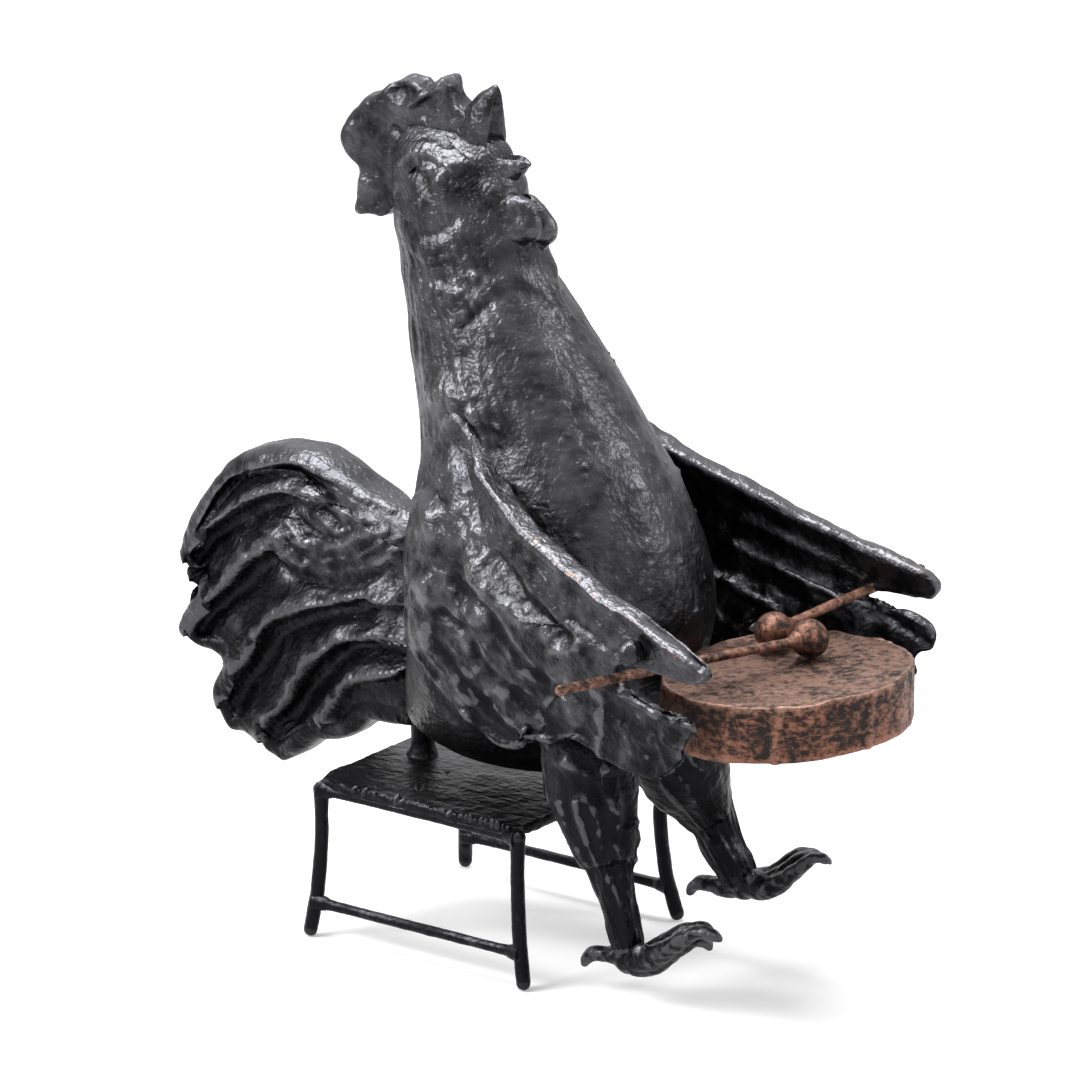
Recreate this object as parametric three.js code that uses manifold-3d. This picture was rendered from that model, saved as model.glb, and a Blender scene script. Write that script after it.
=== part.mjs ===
// A crowing rooster that sits on a low bench and plays a drum: a hand-made folk ornament in cast bronze.
// Units are millimetres. X runs from the tail to the drum, Y to the bird's left, and Z up from the floor.
// The pieces are cast one by one and brazed together, so each is a solid of its own, and a piece that
// is let into another is cut to fit it with a thin joint gap.
import * as THREE from "three";
import { mergeVertices } from "three/addons/utils/BufferGeometryUtils.js";
import Module from "manifold-3d";

const wasm = await Module();
wasm.setup();

// Driving dimensions
const JOINT_GAP = 0.3;

const SEAT_HEIGHT = 28.5;
const SEAT_LENGTH = 44.2;
const SEAT_WIDTH = 43;
const SEAT_THICKNESS = 1.4;
const SEAT_CORNER_RADIUS = 1.6;
const SEAT_SETBACK = 0.65;
const BENCH_LEG_DIAMETER = 2.45;
const BENCH_FOOT_LENGTH = 46.4;
const BENCH_FOOT_WIDTH = 44.6;
const STRETCHER_DIAMETER = 1.9;
const STRETCHER_HEIGHT = 6.2;
const RAIL_DIAMETER = 1.4;
const POST_DIAMETER = 3.4;

const BODY_LENGTH = 56.4;
const BODY_WIDTH = 47;
const BODY_HEIGHT = 85;
const BODY_RISE = 3;
const HACKLE_DEPTH = 0.5;
const HACKLE_RIDGES = 12;

const HEAD_LENGTH = 23.4;
const HEAD_WIDTH = 17.6;
const HEAD_HEIGHT = 25.8;
const EYE_RADIUS = 1.5;
const EAR_LOBE_HEIGHT = 7.5;
const COMB_THICKNESS = 6;
const COMB_EDGE_RADIUS = 1.9;
const UPPER_BEAK_HEIGHT = 11.2;
const UPPER_BEAK_WIDTH = 5.4;
const UPPER_BEAK_DEPTH = 7.6;
const LOWER_BEAK_LENGTH = 4.8;
const MOUTH_RADIUS = 1.2;
const WATTLE_HEIGHT = 8;
const WATTLE_THICKNESS = 4.8;

const TAIL_LENGTH = 51;
const TAIL_HEIGHT = 51.4;
const TAIL_ROOT_THICKNESS = 19;
const TAIL_TIP_THICKNESS = 8;
const TAIL_RIDGE_DEPTH = 3.4;
const TAIL_PLUMES = 7;
const TAIL_ROOT_INSET = 8;

const WING_LENGTH = 60.4;
const WING_DROP = 50.6;
const WING_SPREAD = 8.9;
const LEFT_WING_REACH = 3.6;
const WING_THICKNESS = 2.3;
const WING_ROOT_SWELL = 3.2;
const WING_FEATHERS = 6;
const FEATHER_STEP = 1.1;
const FEATHER_TIP_NOTCH = 0.06;
const GRIP_SLOT_DEPTH = 0.27;
const THUMB_RADIUS = 2;

const LEG_LENGTH = 38;
const LEG_SPACING = 30.6;
const THIGH_RADIUS = 7.8;
const SHANK_RADIUS = 3.3;
const LEFT_LEG_LIFT = 3;
const LEFT_FOOT_LIFT = 0.9;
const TOE_RADIUS = 1.75;
const TOE_SPREAD = 3.8;
const TOE_LENGTH = 17.8;
const HIND_TOE_LENGTH = 10.5;

const DRUM_RADIUS = 21.4;
const DRUM_DEPTH = 10.2;
const DRUM_TOP_HEIGHT = 60;
const DRUM_TUCK = 0.6;
const DRUM_RIM_RADIUS = 0.7;
const DRUM_SLOPE_FORWARD = 0.076;
const DRUM_SLOPE_LEFT = 0.023;

const STICK_DIAMETER = 1.7;
const RIGHT_STICK_LENGTH = 54;
const LEFT_STICK_LENGTH = 37;
const MALLET_HEAD_DIAMETER = 6.6;
const MALLET_COLLAR_DIAMETER = 3;
const MALLET_COLLAR_LENGTH = 2.4;

const SEAT_TOP = SEAT_HEIGHT + JOINT_GAP;
const BODY_BASE = SEAT_TOP + BODY_RISE;
const RIGHT = -1;
const LEFT = 1;

// Geometry helpers
const point = (x, y, z) => new THREE.Vector3(x, y, z);
const inPlane = (list) => list.map(([x, z]) => point(x, 0, z));
const curve = (points) => new THREE.CatmullRomCurve3(points, false, "catmullrom", 0.5);

// A closed skin over rings of points, each with the same count. close() gives the triangles of an end.
function skin(rings, close) {
  const count = rings[0].length;
  const vertices = rings.flat();
  const faces = [];
  for (let row = 0; row + 1 < rings.length; row++)
    for (let i = 0; i < count; i++) {
      const a = row * count + i;
      const b = row * count + ((i + 1) % count);
      faces.push(a, b, b + count, a, b + count, a + count);
    }
  const last = (rings.length - 1) * count;
  for (const [a, b, c] of close(count, vertices, 0)) faces.push(a, c, b);
  for (const [a, b, c] of close(count, vertices, last)) faces.push(a, b, c);
  const made = new THREE.BufferGeometry();
  made.setAttribute("position", new THREE.Float32BufferAttribute(vertices.flatMap((v) => [v.x, v.y, v.z]), 3));
  made.setIndex(faces);
  return made;
}

// Closes an end with a fan of triangles about its middle.
function fanEnd(count, vertices, first) {
  const middle = point(0, 0, 0);
  for (let i = 0; i < count; i++) middle.addScaledVector(vertices[first + i], 1 / count);
  const centre = vertices.push(middle) - 1;
  return Array.from({ length: count }, (_, i) => [centre, first + i, first + ((i + 1) % count)]);
}

// Closes the end of a flat ring, whose first half lies on one face and whose second half comes back on the other.
function stripEnd(count, vertices, first) {
  const faces = [];
  for (let i = 0; i + 1 < count / 2; i++) {
    const back = count - 1 - i;
    faces.push([first + i, first + i + 1, first + back - 1], [first + i, first + back - 1, first + back]);
  }
  return faces;
}

function solidOf(geometry) {
  const bare = geometry.clone();
  for (const name of ["normal", "uv"]) bare.deleteAttribute(name);
  const merged = mergeVertices(bare, 1e-4);
  const made = new wasm.Manifold(
    new wasm.Mesh({
      numProp: 3,
      vertProperties: new Float32Array(merged.attributes.position.array),
      triVerts: new Uint32Array(merged.index.array),
    }),
  );
  return made;
}

function geometryOf(solid) {
  const mesh = solid.getMesh();
  const made = new THREE.BufferGeometry();
  made.setAttribute("position", new THREE.BufferAttribute(new Float32Array(mesh.vertProperties), 3));
  made.setIndex(new THREE.BufferAttribute(new Uint32Array(mesh.triVerts), 1));
  return made;
}

// The solid with its whole skin moved outwards, which cuts the seat of a neighbour.
function grown(solid, by = JOINT_GAP) {
  const geometry = geometryOf(solid);
  geometry.computeVertexNormals();
  const position = geometry.attributes.position;
  const normal = geometry.attributes.normal;
  for (let i = 0; i < position.count; i++)
    position.setXYZ(
      i,
      position.getX(i) + normal.getX(i) * by,
      position.getY(i) + normal.getY(i) * by,
      position.getZ(i) + normal.getZ(i) * by,
    );
  return solidOf(geometry);
}

// The piece with room cut for each neighbour. Slivers that the cuts leave are dropped.
function fitted(piece, ...neighbours) {
  let cut = piece;
  for (const neighbour of neighbours) cut = cut.subtract(grown(neighbour));
  const bodies = cut.decompose();
  return bodies.reduce((most, body) => (body.volume() > most.volume() ? body : most));
}

// A round bar along a curve. radius(t) gives [across, up] half sizes; side is the direction called across.
function bar(path, radius, side, steps, sides) {
  const rings = [];
  for (let row = 0; row <= steps; row++) {
    const t = row / steps;
    const along = path.getTangent(t);
    const across = side.clone().addScaledVector(along, -side.dot(along)).normalize();
    const up = new THREE.Vector3().crossVectors(along, across);
    const [wide, high] = radius(t);
    rings.push(
      Array.from({ length: sides }, (_, i) => {
        const turn = (i / sides) * 2 * Math.PI;
        return path
          .getPoint(t)
          .addScaledVector(across, wide * Math.cos(turn))
          .addScaledVector(up, high * Math.sin(turn));
      }),
    );
  }
  return solidOf(skin(rings, fanEnd));
}

// A straight bar whose ends are rounded over.
function roundEndedBar(start, end, radius, side, sides) {
  const direction = end.clone().sub(start).normalize();
  const along = (from, distance) => from.clone().addScaledVector(direction, distance * radius);
  const stops = [start, along(start, 0.3), along(start, 1), along(end, -1), along(end, -0.3), end];
  const sizes = [0.35, 0.72, 1, 1, 0.72, 0.35];
  const rings = stops.map((stop, i) => {
    const up = new THREE.Vector3().crossVectors(direction, side).normalize();
    const wide = new THREE.Vector3().crossVectors(up, direction);
    return Array.from({ length: sides }, (_, k) => {
      const turn = (k / sides) * 2 * Math.PI;
      return stop
        .clone()
        .addScaledVector(wide, radius * sizes[i] * Math.cos(turn))
        .addScaledVector(up, radius * sizes[i] * Math.sin(turn));
    });
  });
  return solidOf(skin(rings, fanEnd));
}

function ellipsoid(centre, sizes, columns = 16, rows = 10) {
  const ball = new THREE.SphereGeometry(1, columns, rows);
  ball.scale(sizes.x, sizes.y, sizes.z);
  ball.translate(centre.x, centre.y, centre.z);
  return solidOf(ball);
}

const across = point(0, 1, 0);
const upward = point(0, 0, 1);

// Body and neck: ovals stacked from the seat to the throat.
// Each row is the height, the centre along X, and the oval's length and width, as parts of the body's own sizes.
const BODY_SECTIONS = [
  [0, 4, 0.3, 0.19],
  [0.022, 4.6, 0.53, 0.37],
  [0.07, 5.1, 0.73, 0.6],
  [0.14, 8.9, 0.86, 0.79],
  [0.22, 12.2, 0.945, 0.91],
  [0.345, 14.1, 1, 1],
  [0.455, 13.6, 0.99, 0.985],
  [0.55, 13, 0.915, 0.925],
  [0.65, 11.5, 0.82, 0.82],
  [0.747, 8.2, 0.74, 0.71],
  [0.845, 4.5, 0.667, 0.634],
  [0.933, 1, 0.585, 0.553],
  [1, -2.1, 0.525, 0.485],
];
const BODY_ROWS = 18;
const BODY_COLUMNS = 48;

const bodyHeights = curve(BODY_SECTIONS.map(([height]) => point(height * BODY_HEIGHT, 0, 0)));
const bodyShapes = curve(
  BODY_SECTIONS.map(([, x, long, wide]) => point(x, (long * BODY_LENGTH) / 2, (wide * BODY_WIDTH) / 2)),
);

function bodySection(t) {
  const shape = bodyShapes.getPoint(t);
  return { z: BODY_BASE + bodyHeights.getPoint(t).x, x: shape.x, halfLength: shape.y, halfWidth: shape.z };
}

// The section at a height above the floor.
function bodyAt(z) {
  let low = 0;
  let high = 1;
  for (let i = 0; i < 30; i++) {
    const middle = (low + high) / 2;
    if (bodySection(middle).z < z) low = middle;
    else high = middle;
  }
  return bodySection((low + high) / 2);
}

// Hackle feathers: shallow upright grooves that fade in above the shoulders and run round the back of the neck.
function hackle(t, turn) {
  const fade = THREE.MathUtils.smoothstep(t, 0.55, 0.8);
  const back = 0.5 - 0.5 * Math.cos(turn);
  return -HACKLE_DEPTH * fade * back * (0.5 - 0.5 * Math.cos(HACKLE_RIDGES * turn));
}

function makeBody() {
  const rings = [];
  for (let row = 0; row <= BODY_ROWS; row++) {
    const t = row / BODY_ROWS;
    const section = bodySection(t);
    rings.push(
      Array.from({ length: BODY_COLUMNS }, (_, i) => {
        const turn = (i / BODY_COLUMNS) * 2 * Math.PI;
        const groove = hackle(t, turn);
        return point(
          section.x + (section.halfLength + groove) * Math.cos(turn),
          (section.halfWidth + groove) * Math.sin(turn),
          section.z,
        );
      }),
    );
  }
  return solidOf(skin(rings, fanEnd));
}

// Head: thrown back, with the face in profile. It sits on the neck's top face.
const HEAD_BASE = BODY_BASE + BODY_HEIGHT + JOINT_GAP;
const NECK_TOP = bodySection(1);
const HEAD_SECTIONS = [
  [0, 0, NECK_TOP.halfLength * 2, NECK_TOP.halfWidth * 2],
  [0.13, -1.5, HEAD_LENGTH * 1.19, HEAD_WIDTH * 1.19],
  [0.33, -3.7, HEAD_LENGTH * 1.11, HEAD_WIDTH * 1.14],
  [0.54, -5.4, HEAD_LENGTH, HEAD_WIDTH],
  [0.74, -6.3, HEAD_LENGTH * 0.91, HEAD_WIDTH * 0.91],
  [0.89, -7, HEAD_LENGTH * 0.78, HEAD_WIDTH * 0.72],
  [0.97, -7.9, HEAD_LENGTH * 0.55, HEAD_WIDTH * 0.41],
  [1, -8.2, HEAD_LENGTH * 0.31, HEAD_WIDTH * 0.2],
];
const HEAD_ROWS = 10;
const HEAD_COLUMNS = 22;
const headHeights = curve(HEAD_SECTIONS.map(([height]) => point(height * HEAD_HEIGHT, 0, 0)));
const headShapes = curve(HEAD_SECTIONS.map(([, x, long, wide]) => point(NECK_TOP.x + x, long / 2, wide / 2)));
const HEAD_MIDDLE = headShapes.getPoint(0.5);
const FACE_X = HEAD_MIDDLE.x + HEAD_MIDDLE.y;
const EYE = point(HEAD_MIDDLE.x - 1.4, HEAD_MIDDLE.z - 0.9, HEAD_BASE + 0.77 * HEAD_HEIGHT);
const EAR_LOBE = point(HEAD_MIDDLE.x + 2.2, HEAD_MIDDLE.z + 1.3, HEAD_BASE + 0.35 * HEAD_HEIGHT);

function makeHead() {
  const rings = [];
  for (let row = 0; row <= HEAD_ROWS; row++) {
    const t = row / HEAD_ROWS;
    const shape = headShapes.getPoint(t);
    const z = HEAD_BASE + headHeights.getPoint(t).x;
    rings.push(
      Array.from({ length: HEAD_COLUMNS }, (_, i) => {
        const turn = (i / HEAD_COLUMNS) * 2 * Math.PI;
        return point(shape.x + shape.y * Math.cos(turn), shape.z * Math.sin(turn), z);
      }),
    );
  }
  let head = solidOf(skin(rings, fanEnd));
  for (const side of [RIGHT, LEFT]) {
    const eye = point(EYE.x, side * EYE.y, EYE.z);
    const lobe = point(EAR_LOBE.x, side * EAR_LOBE.y, EAR_LOBE.z);
    const socket = ellipsoid(eye, point(EYE_RADIUS * 2.1, EYE_RADIUS, EYE_RADIUS * 1.5), 12, 6);
    const inner = point(EYE.x, side * (EYE.y - EYE_RADIUS * 0.6), EYE.z);
    const eyeball = ellipsoid(inner, point(EYE_RADIUS * 1.1, EYE_RADIUS * 1.2, EYE_RADIUS * 0.9), 10, 6);
    const ear = ellipsoid(lobe, point(EAR_LOBE_HEIGHT * 0.5, 1.2, EAR_LOBE_HEIGHT / 2), 12, 6);
    head = head.subtract(socket).add(eyeball).add(ear);
  }
  return head;
}

// Comb: four thick lobes that start above the beak, run over the crown and droop behind the nape.
const COMB_OUTLINE = [
  [-0.6, 22.4],
  [-2.6, 27.6],
  [-5, 30.8],
  [-7, 33.2],
  [-9.6, 33.4],
  [-12.2, 31.6],
  [-16, 32.8],
  [-20.2, 30.4],
  [-23.4, 27],
  [-26.8, 24],
  [-26.8, 19.6],
  [-23.6, 15.4],
  [-24.4, 11.4],
  [-23.2, 8.2],
  [-19, 8],
  [-15, 9.8],
  [-13.6, 18],
];

function makeComb() {
  const lobes = COMB_OUTLINE.map(([x, z]) => point(NECK_TOP.x + x, z, 0));
  const edge = new THREE.CatmullRomCurve3(lobes, true, "catmullrom", 0.5).getSpacedPoints(32);
  const outline = new THREE.Shape(edge.slice(0, -1).map((spot) => new THREE.Vector2(spot.x, spot.y)));
  const plate = new THREE.ExtrudeGeometry(outline, {
    depth: COMB_THICKNESS - 2 * COMB_EDGE_RADIUS,
    bevelThickness: COMB_EDGE_RADIUS,
    bevelSize: COMB_EDGE_RADIUS,
    bevelOffset: -COMB_EDGE_RADIUS,
    bevelSegments: 2,
  });
  plate.translate(0, 0, COMB_EDGE_RADIUS - COMB_THICKNESS / 2);
  plate.rotateX(Math.PI / 2);
  plate.translate(0, 0, HEAD_BASE);
  return solidOf(plate);
}

// Beak: the upper half stands straight up, the lower half points forward, and a mouth is scooped between them.
const MOUTH_CORNER = point(FACE_X - 0.4, 0, HEAD_BASE + 0.92 * HEAD_HEIGHT);

function mouthScoop() {
  const path = curve(
    inPlane([
      [MOUTH_CORNER.x + 1.5, MOUTH_CORNER.z + UPPER_BEAK_HEIGHT + 1],
      [MOUTH_CORNER.x + 1.2, MOUTH_CORNER.z + UPPER_BEAK_HEIGHT * 0.5],
      [MOUTH_CORNER.x + 0.9, MOUTH_CORNER.z + 1.6],
      [MOUTH_CORNER.x + 2.8, MOUTH_CORNER.z + 0.5],
      [MOUTH_CORNER.x + LOWER_BEAK_LENGTH + 2, MOUTH_CORNER.z + 1.4],
    ]),
  );
  return bar(path, () => [MOUTH_RADIUS, MOUTH_RADIUS], across, 10, 8);
}

function makeUpperBeak() {
  const path = curve(
    inPlane([
      [MOUTH_CORNER.x - 4.2, MOUTH_CORNER.z - 2],
      [MOUTH_CORNER.x - 2.8, MOUTH_CORNER.z + UPPER_BEAK_HEIGHT * 0.45],
      [MOUTH_CORNER.x - 1.9, MOUTH_CORNER.z + UPPER_BEAK_HEIGHT],
    ]),
  );
  const taper = (t) => {
    return [(UPPER_BEAK_WIDTH / 2) * (1 - 0.8 * t ** 2.2), (UPPER_BEAK_DEPTH / 2) * (1 - 0.84 * t ** 2.4)];
  };
  return bar(path, taper, across, 6, 12).subtract(mouthScoop());
}

function makeLowerBeak() {
  const path = curve(
    inPlane([
      [MOUTH_CORNER.x - 4, MOUTH_CORNER.z - 3.6],
      [MOUTH_CORNER.x + 1.6, MOUTH_CORNER.z - 1.7],
      [MOUTH_CORNER.x + LOWER_BEAK_LENGTH, MOUTH_CORNER.z - 0.9],
    ]),
  );
  const taper = (t) => {
    const half = 2.9 * (1 - 0.8 * t);
    return [half, half];
  };
  return bar(path, taper, across, 6, 12).subtract(mouthScoop());
}

// Wattles: a pair of heavy drops below the beak.
function makeWattle(side) {
  const top = MOUTH_CORNER.z - 8.2;
  const path = curve([
    point(FACE_X - 3, side * 2, top + 1.2),
    point(FACE_X + 1.4, side * 2.6, top),
    point(FACE_X + 3.9, side * 2.8, top - WATTLE_HEIGHT * 0.35),
    point(FACE_X + 3.7, side * 2.6, top - WATTLE_HEIGHT * 0.85),
  ]);
  const swell = (t) => {
    const half = (WATTLE_THICKNESS / 2) * (0.55 + 0.55 * Math.sin(Math.PI * Math.min(1, 0.15 + t * 0.8)));
    return [half, half * 1.2];
  };
  return bar(path, swell, across, 7, 12);
}

// A fan of feathers lies on lines that run from a root rail, over a middle rail, to a tip rail.
// across goes from 0 to 1 from one edge of the fan to the other, along goes from 0 at the root to 1 at the tip.
function fanPoint(rails, along, over) {
  const made = point(0, 0, 0);
  made.addScaledVector(rails.root.getPoint(over), 2 * (along - 0.5) * (along - 1));
  made.addScaledVector(rails.middle.getPoint(over), -4 * along * (along - 1));
  made.addScaledVector(rails.tip.getPoint(over), 2 * along * (along - 0.5));
  return made;
}

function fanNormal(rails, along, over) {
  const step = 0.01;
  const low = Math.max(0, over - step);
  const high = Math.min(1, over + step);
  const forward = fanPoint(rails, along + step, over).sub(fanPoint(rails, along - step, over));
  const sideways = fanPoint(rails, along, high).sub(fanPoint(rails, along, low));
  return forward.cross(sideways).normalize();
}

// Where a feather's crest lies, from the groove above it to the one below.
const CREST_PLACE = 0.68;

// Each feather rises from the groove above it to a crest and drops again: 0 in the groove and 1 on the crest.
function crest(over, feathers) {
  const within = (over * feathers) % 1;
  return within < CREST_PLACE ? within / CREST_PLACE : (1 - within) / (1 - CREST_PLACE);
}

// The fan as a solid. outer and inner give its two faces' distance from the rails' surface, reach its scalloped end.
function makeFan({ rails, feathers, rows, outer, inner, reach }) {
  const cuts = [0, 0.3, CREST_PLACE, 0.88];
  const overs = [];
  for (let feather = 0; feather < feathers; feather++)
    for (const cut of cuts) overs.push((feather + cut) / feathers);
  overs.push(1);
  const rings = [];
  for (let row = 0; row <= rows; row++) {
    const t = row / rows;
    const face = (distance, sign) =>
      overs.map((over) => {
        const along = t * reach(over);
        const normal = fanNormal(rails, along, over);
        return fanPoint(rails, along, over).addScaledVector(normal, sign * distance(along, over));
      });
    rings.push([...face(outer, 1), ...face(inner, -1).reverse()]);
  }
  const made = skin(rings, stripEnd);
  const solid = solidOf(made);
  if (solid.volume() > 0) return solid;
  const turned = made.index.array;
  for (let i = 0; i < turned.length; i += 3) [turned[i + 1], turned[i + 2]] = [turned[i + 2], turned[i + 1]];
  return solidOf(made);
}

// Notches between the tips: 1 at a feather's middle and 1 - depth at its edges.
function scallop(over, feathers, depths) {
  const place = over * feathers;
  const edge = Math.round(place);
  const nearness = Math.max(0, 1 - Math.abs(place - edge) / 0.5);
  const depth = edge === 0 || edge === feathers ? depths.outside : (depths.edges[edge - 1] ?? 0);
  return 1 - depth * nearness ** 1.5;
}

// Tail: seven plumes that arch up and back from the rump and curl down to their tips.
const TAIL_BACK = bodyAt(BODY_BASE + BODY_HEIGHT * 0.318);
const TAIL_X = TAIL_BACK.x - TAIL_BACK.halfLength;
// Each row is a place along X and a height over the seat, as parts of the tail's own length and height.
const tailRail = (list) =>
  curve(list.map(([x, z]) => point(TAIL_X + x * TAIL_LENGTH, 0, SEAT_TOP + z * TAIL_HEIGHT)));
const TAIL_ROOT = TAIL_ROOT_INSET / TAIL_LENGTH;
const tailRails = {
  root: tailRail([
    [TAIL_ROOT, 0.671],
    [TAIL_ROOT, 0.418],
    [TAIL_ROOT, 0.156],
  ]),
  middle: tailRail([
    [-0.518, 0.998],
    [-0.586, 0.807],
    [-0.557, 0.564],
    [-0.429, 0.35],
    [-0.292, 0.214],
    [-0.125, 0.117],
  ]),
  tip: tailRail([
    [-0.949, 0.632],
    [-1.002, 0.496],
    [-1.002, 0.253],
    [-0.853, 0.019],
    [-0.567, -0.148],
    [-0.41, -0.062],
    [-0.194, 0.07],
  ]),
};
const TAIL_NOTCHES = { outside: 0.02, edges: [0.02, 0.07, 0.1, 0.08, 0.08, 0.1] };
const TAIL_ROWS = 12;

// The first and last plumes stay as thick as their crests out to the fan's edges.
function tailFace(along, over) {
  const inside = THREE.MathUtils.clamp(over, CREST_PLACE / TAIL_PLUMES, 1 - (1 - CREST_PLACE) / TAIL_PLUMES);
  const slim = THREE.MathUtils.lerp(TAIL_ROOT_THICKNESS, TAIL_TIP_THICKNESS, Math.min(1, along * 1.15)) / 2;
  const edge = Math.sin(Math.PI * THREE.MathUtils.clamp(over, 0.05, 0.96)) ** 0.3;
  const ridge = TAIL_RIDGE_DEPTH * Math.sin(Math.PI * Math.min(0.85, along + 0.1));
  return Math.max(1, slim * edge - ridge * (1 - crest(inside, TAIL_PLUMES)));
}

function makeTail() {
  return makeFan({
    rails: tailRails,
    feathers: TAIL_PLUMES,
    rows: TAIL_ROWS,
    outer: tailFace,
    inner: tailFace,
    reach: (over) => scallop(over, TAIL_PLUMES, TAIL_NOTCHES),
  });
}

// Wings: curved shells that hug the flanks and reach forward round the drum.
const SHOULDER = bodyAt(BODY_BASE + BODY_HEIGHT * 0.741);
const FLANK = BODY_WIDTH / 2;
const WING_NOTCHES = {
  outside: 0.02,
  edges: [GRIP_SLOT_DEPTH, 0.04, FEATHER_TIP_NOTCH, FEATHER_TIP_NOTCH, FEATHER_TIP_NOTCH],
};
const WING_ROWS = 10;

// Each row is a place forward of the shoulder, out from the flank and below the shoulder, as parts of the wing's
// own length, spread and drop. reach tells how far the left wing's longer feathers take the row further forward.
function wingRails(side) {
  const extra = side === LEFT ? LEFT_WING_REACH : 0;
  const row = ([x, y, z, reach = 0]) =>
    point(
      SHOULDER.x + x * WING_LENGTH + reach * extra,
      side * (FLANK + y * WING_SPREAD),
      SHOULDER.z + z * WING_DROP,
    );
  const tuck = SHOULDER.halfWidth - 3;
  const inside = (x, depth, z) => point(SHOULDER.x + x, side * (tuck - depth), SHOULDER.z + z);
  return {
    root: curve([inside(-3.5, 0, 4.5), inside(-6.5, 0, 6), inside(-8, 1.5, 4)]),
    middle: curve(
      [
        [0.407, 0.42, -0.277],
        [0.358, 0.56, -0.445],
        [0.258, 0.48, -0.549],
        [0.134, 0.3, -0.603],
        [0.01, 0.16, -0.613],
        [-0.126, -0.16, -0.563],
        [-0.204, -0.46, -0.464],
      ].map(row),
    ),
    tip: curve(
      [
        [1, 1, -0.478, 1],
        [0.974, 0.8, -0.636, 1.8],
        [0.896, 0.44, -0.814, 1.9],
        [0.781, 0.26, -0.945, 1.1],
        [0.503, 0, -0.925],
        [0.209, -0.16, -1],
        [-0.031, -0.15, -0.881],
      ].map(row),
    ),
  };
}

function wingOuter(along, over) {
  const step = FEATHER_STEP * THREE.MathUtils.smoothstep(along, 0.25, 0.6);
  return WING_THICKNESS / 2 - step * (1 - crest(over, WING_FEATHERS)) * 0.8;
}

function wingInner(along, over) {
  const swell = WING_ROOT_SWELL * Math.max(0, 1 - along * 2.2);
  const step = FEATHER_STEP * 0.4 * THREE.MathUtils.smoothstep(along, 0.25, 0.6);
  return WING_THICKNESS / 2 + swell - step * (1 - crest(over, WING_FEATHERS));
}

function makeWing(side) {
  return makeFan({
    rails: wingRails(side),
    feathers: WING_FEATHERS,
    rows: WING_ROWS,
    outer: side === RIGHT ? wingInner : wingOuter,
    inner: side === RIGHT ? wingOuter : wingInner,
    reach: (over) => scallop(over, WING_FEATHERS, WING_NOTCHES),
  });
}

// Legs: feathered thighs in front of the seat, ending over a bare shank.
function legLift(side) {
  return side === LEFT ? LEFT_LEG_LIFT : 0;
}

const THIGH = bodyAt(BODY_BASE + BODY_HEIGHT * 0.129);
const THIGH_X = THIGH.x + THIGH.halfLength * 1.06;
// Each row is a place forward and a height over the seat, as parts of the leg's length, then the parts of the
// full spacing and of the lift that it has.
const LEG_ROWS = [
  [-0.316, 0.5, 0.84, 0],
  [-0.105, 0.355, 0.95, 0],
  [0, 0.174, 1, 0.5],
  [0.016, 0.016, 1, 1],
  [0.037, -0.121, 1, 1],
  [0.084, -0.247, 1, 1],
  [0.147, -0.384, 1, 1],
  [0.189, -0.5, 1, 1],
];

function legPath(side) {
  return curve(
    LEG_ROWS.map(([x, z, wide, lift]) =>
      point(
        THIGH_X + x * LEG_LENGTH,
        (side * wide * LEG_SPACING) / 2,
        SEAT_TOP + z * LEG_LENGTH + lift * legLift(side),
      ),
    ),
  );
}

function makeLeg(side) {
  const knee = 0.62;
  const width = (t) => {
    const thigh = THIGH_RADIUS * (1 - 0.42 * (t / knee) ** 2.6);
    const cuff = THREE.MathUtils.smoothstep(t, knee - 0.03, knee + 0.05);
    const half = THREE.MathUtils.lerp(thigh, SHANK_RADIUS, cuff);
    return [half * 0.92, half];
  };
  return bar(legPath(side), width, across, 14, 14);
}

// Feet: a round heel, three front toes that arch up and droop at the claw, and a hind toe.
function toePath(start, length, spread, rise) {
  const shares = [
    [0, 0],
    [0.22, 0.12],
    [0.45, 0.42],
    [0.72, 0.86],
    [0.9, 1],
    [1, 0.88],
  ];
  return curve(
    shares.map(([forward, high]) =>
      point(start.x + length * forward, start.y + spread * forward, start.z + rise * high),
    ),
  );
}

function makeFoot(side) {
  const ankle = legPath(side).getPoint(1);
  const lift = side === LEFT ? LEFT_FOOT_LIFT : 0;
  const heel = point(ankle.x - 0.4, ankle.y, ankle.z - 2.9 + lift);
  const toe = (t) => {
    const half = TOE_RADIUS * (1.2 - 0.72 * t ** 1.6);
    return [half, half];
  };
  let foot = ellipsoid(heel, point(SHANK_RADIUS * 1.12, SHANK_RADIUS, SHANK_RADIUS * 1.05), 12, 8);
  for (const spread of [-TOE_SPREAD, 0, TOE_SPREAD]) {
    const length = spread === 0 ? TOE_LENGTH : TOE_LENGTH * 0.94;
    const start = point(heel.x - 1, heel.y, heel.z - 1.2);
    foot = foot.add(bar(toePath(start, length, spread, TOE_LENGTH * 0.5), toe, across, 6, 8));
  }
  const hindStart = point(heel.x + 1, heel.y, heel.z - 1.4);
  const hind = toePath(hindStart, -HIND_TOE_LENGTH, 0, 0);
  for (const [i, high] of [0, 0.2, 0.9, 1.2, 0.3, -1.5].entries()) hind.points[i].z += high;
  return foot.add(bar(hind, toe, across, 6, 8));
}

// Drum: a shallow round drum tucked against the belly, tilted a little up at its front and its left.
const DRUM_BELLY = bodyAt(DRUM_TOP_HEIGHT - DRUM_DEPTH / 2);
const DRUM_CENTRE = point(
  DRUM_BELLY.x + DRUM_BELLY.halfLength + DRUM_RADIUS - DRUM_TUCK,
  0,
  DRUM_TOP_HEIGHT,
);
const DRUM_AXIS = point(-DRUM_SLOPE_FORWARD, -DRUM_SLOPE_LEFT, 1).normalize();

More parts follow.
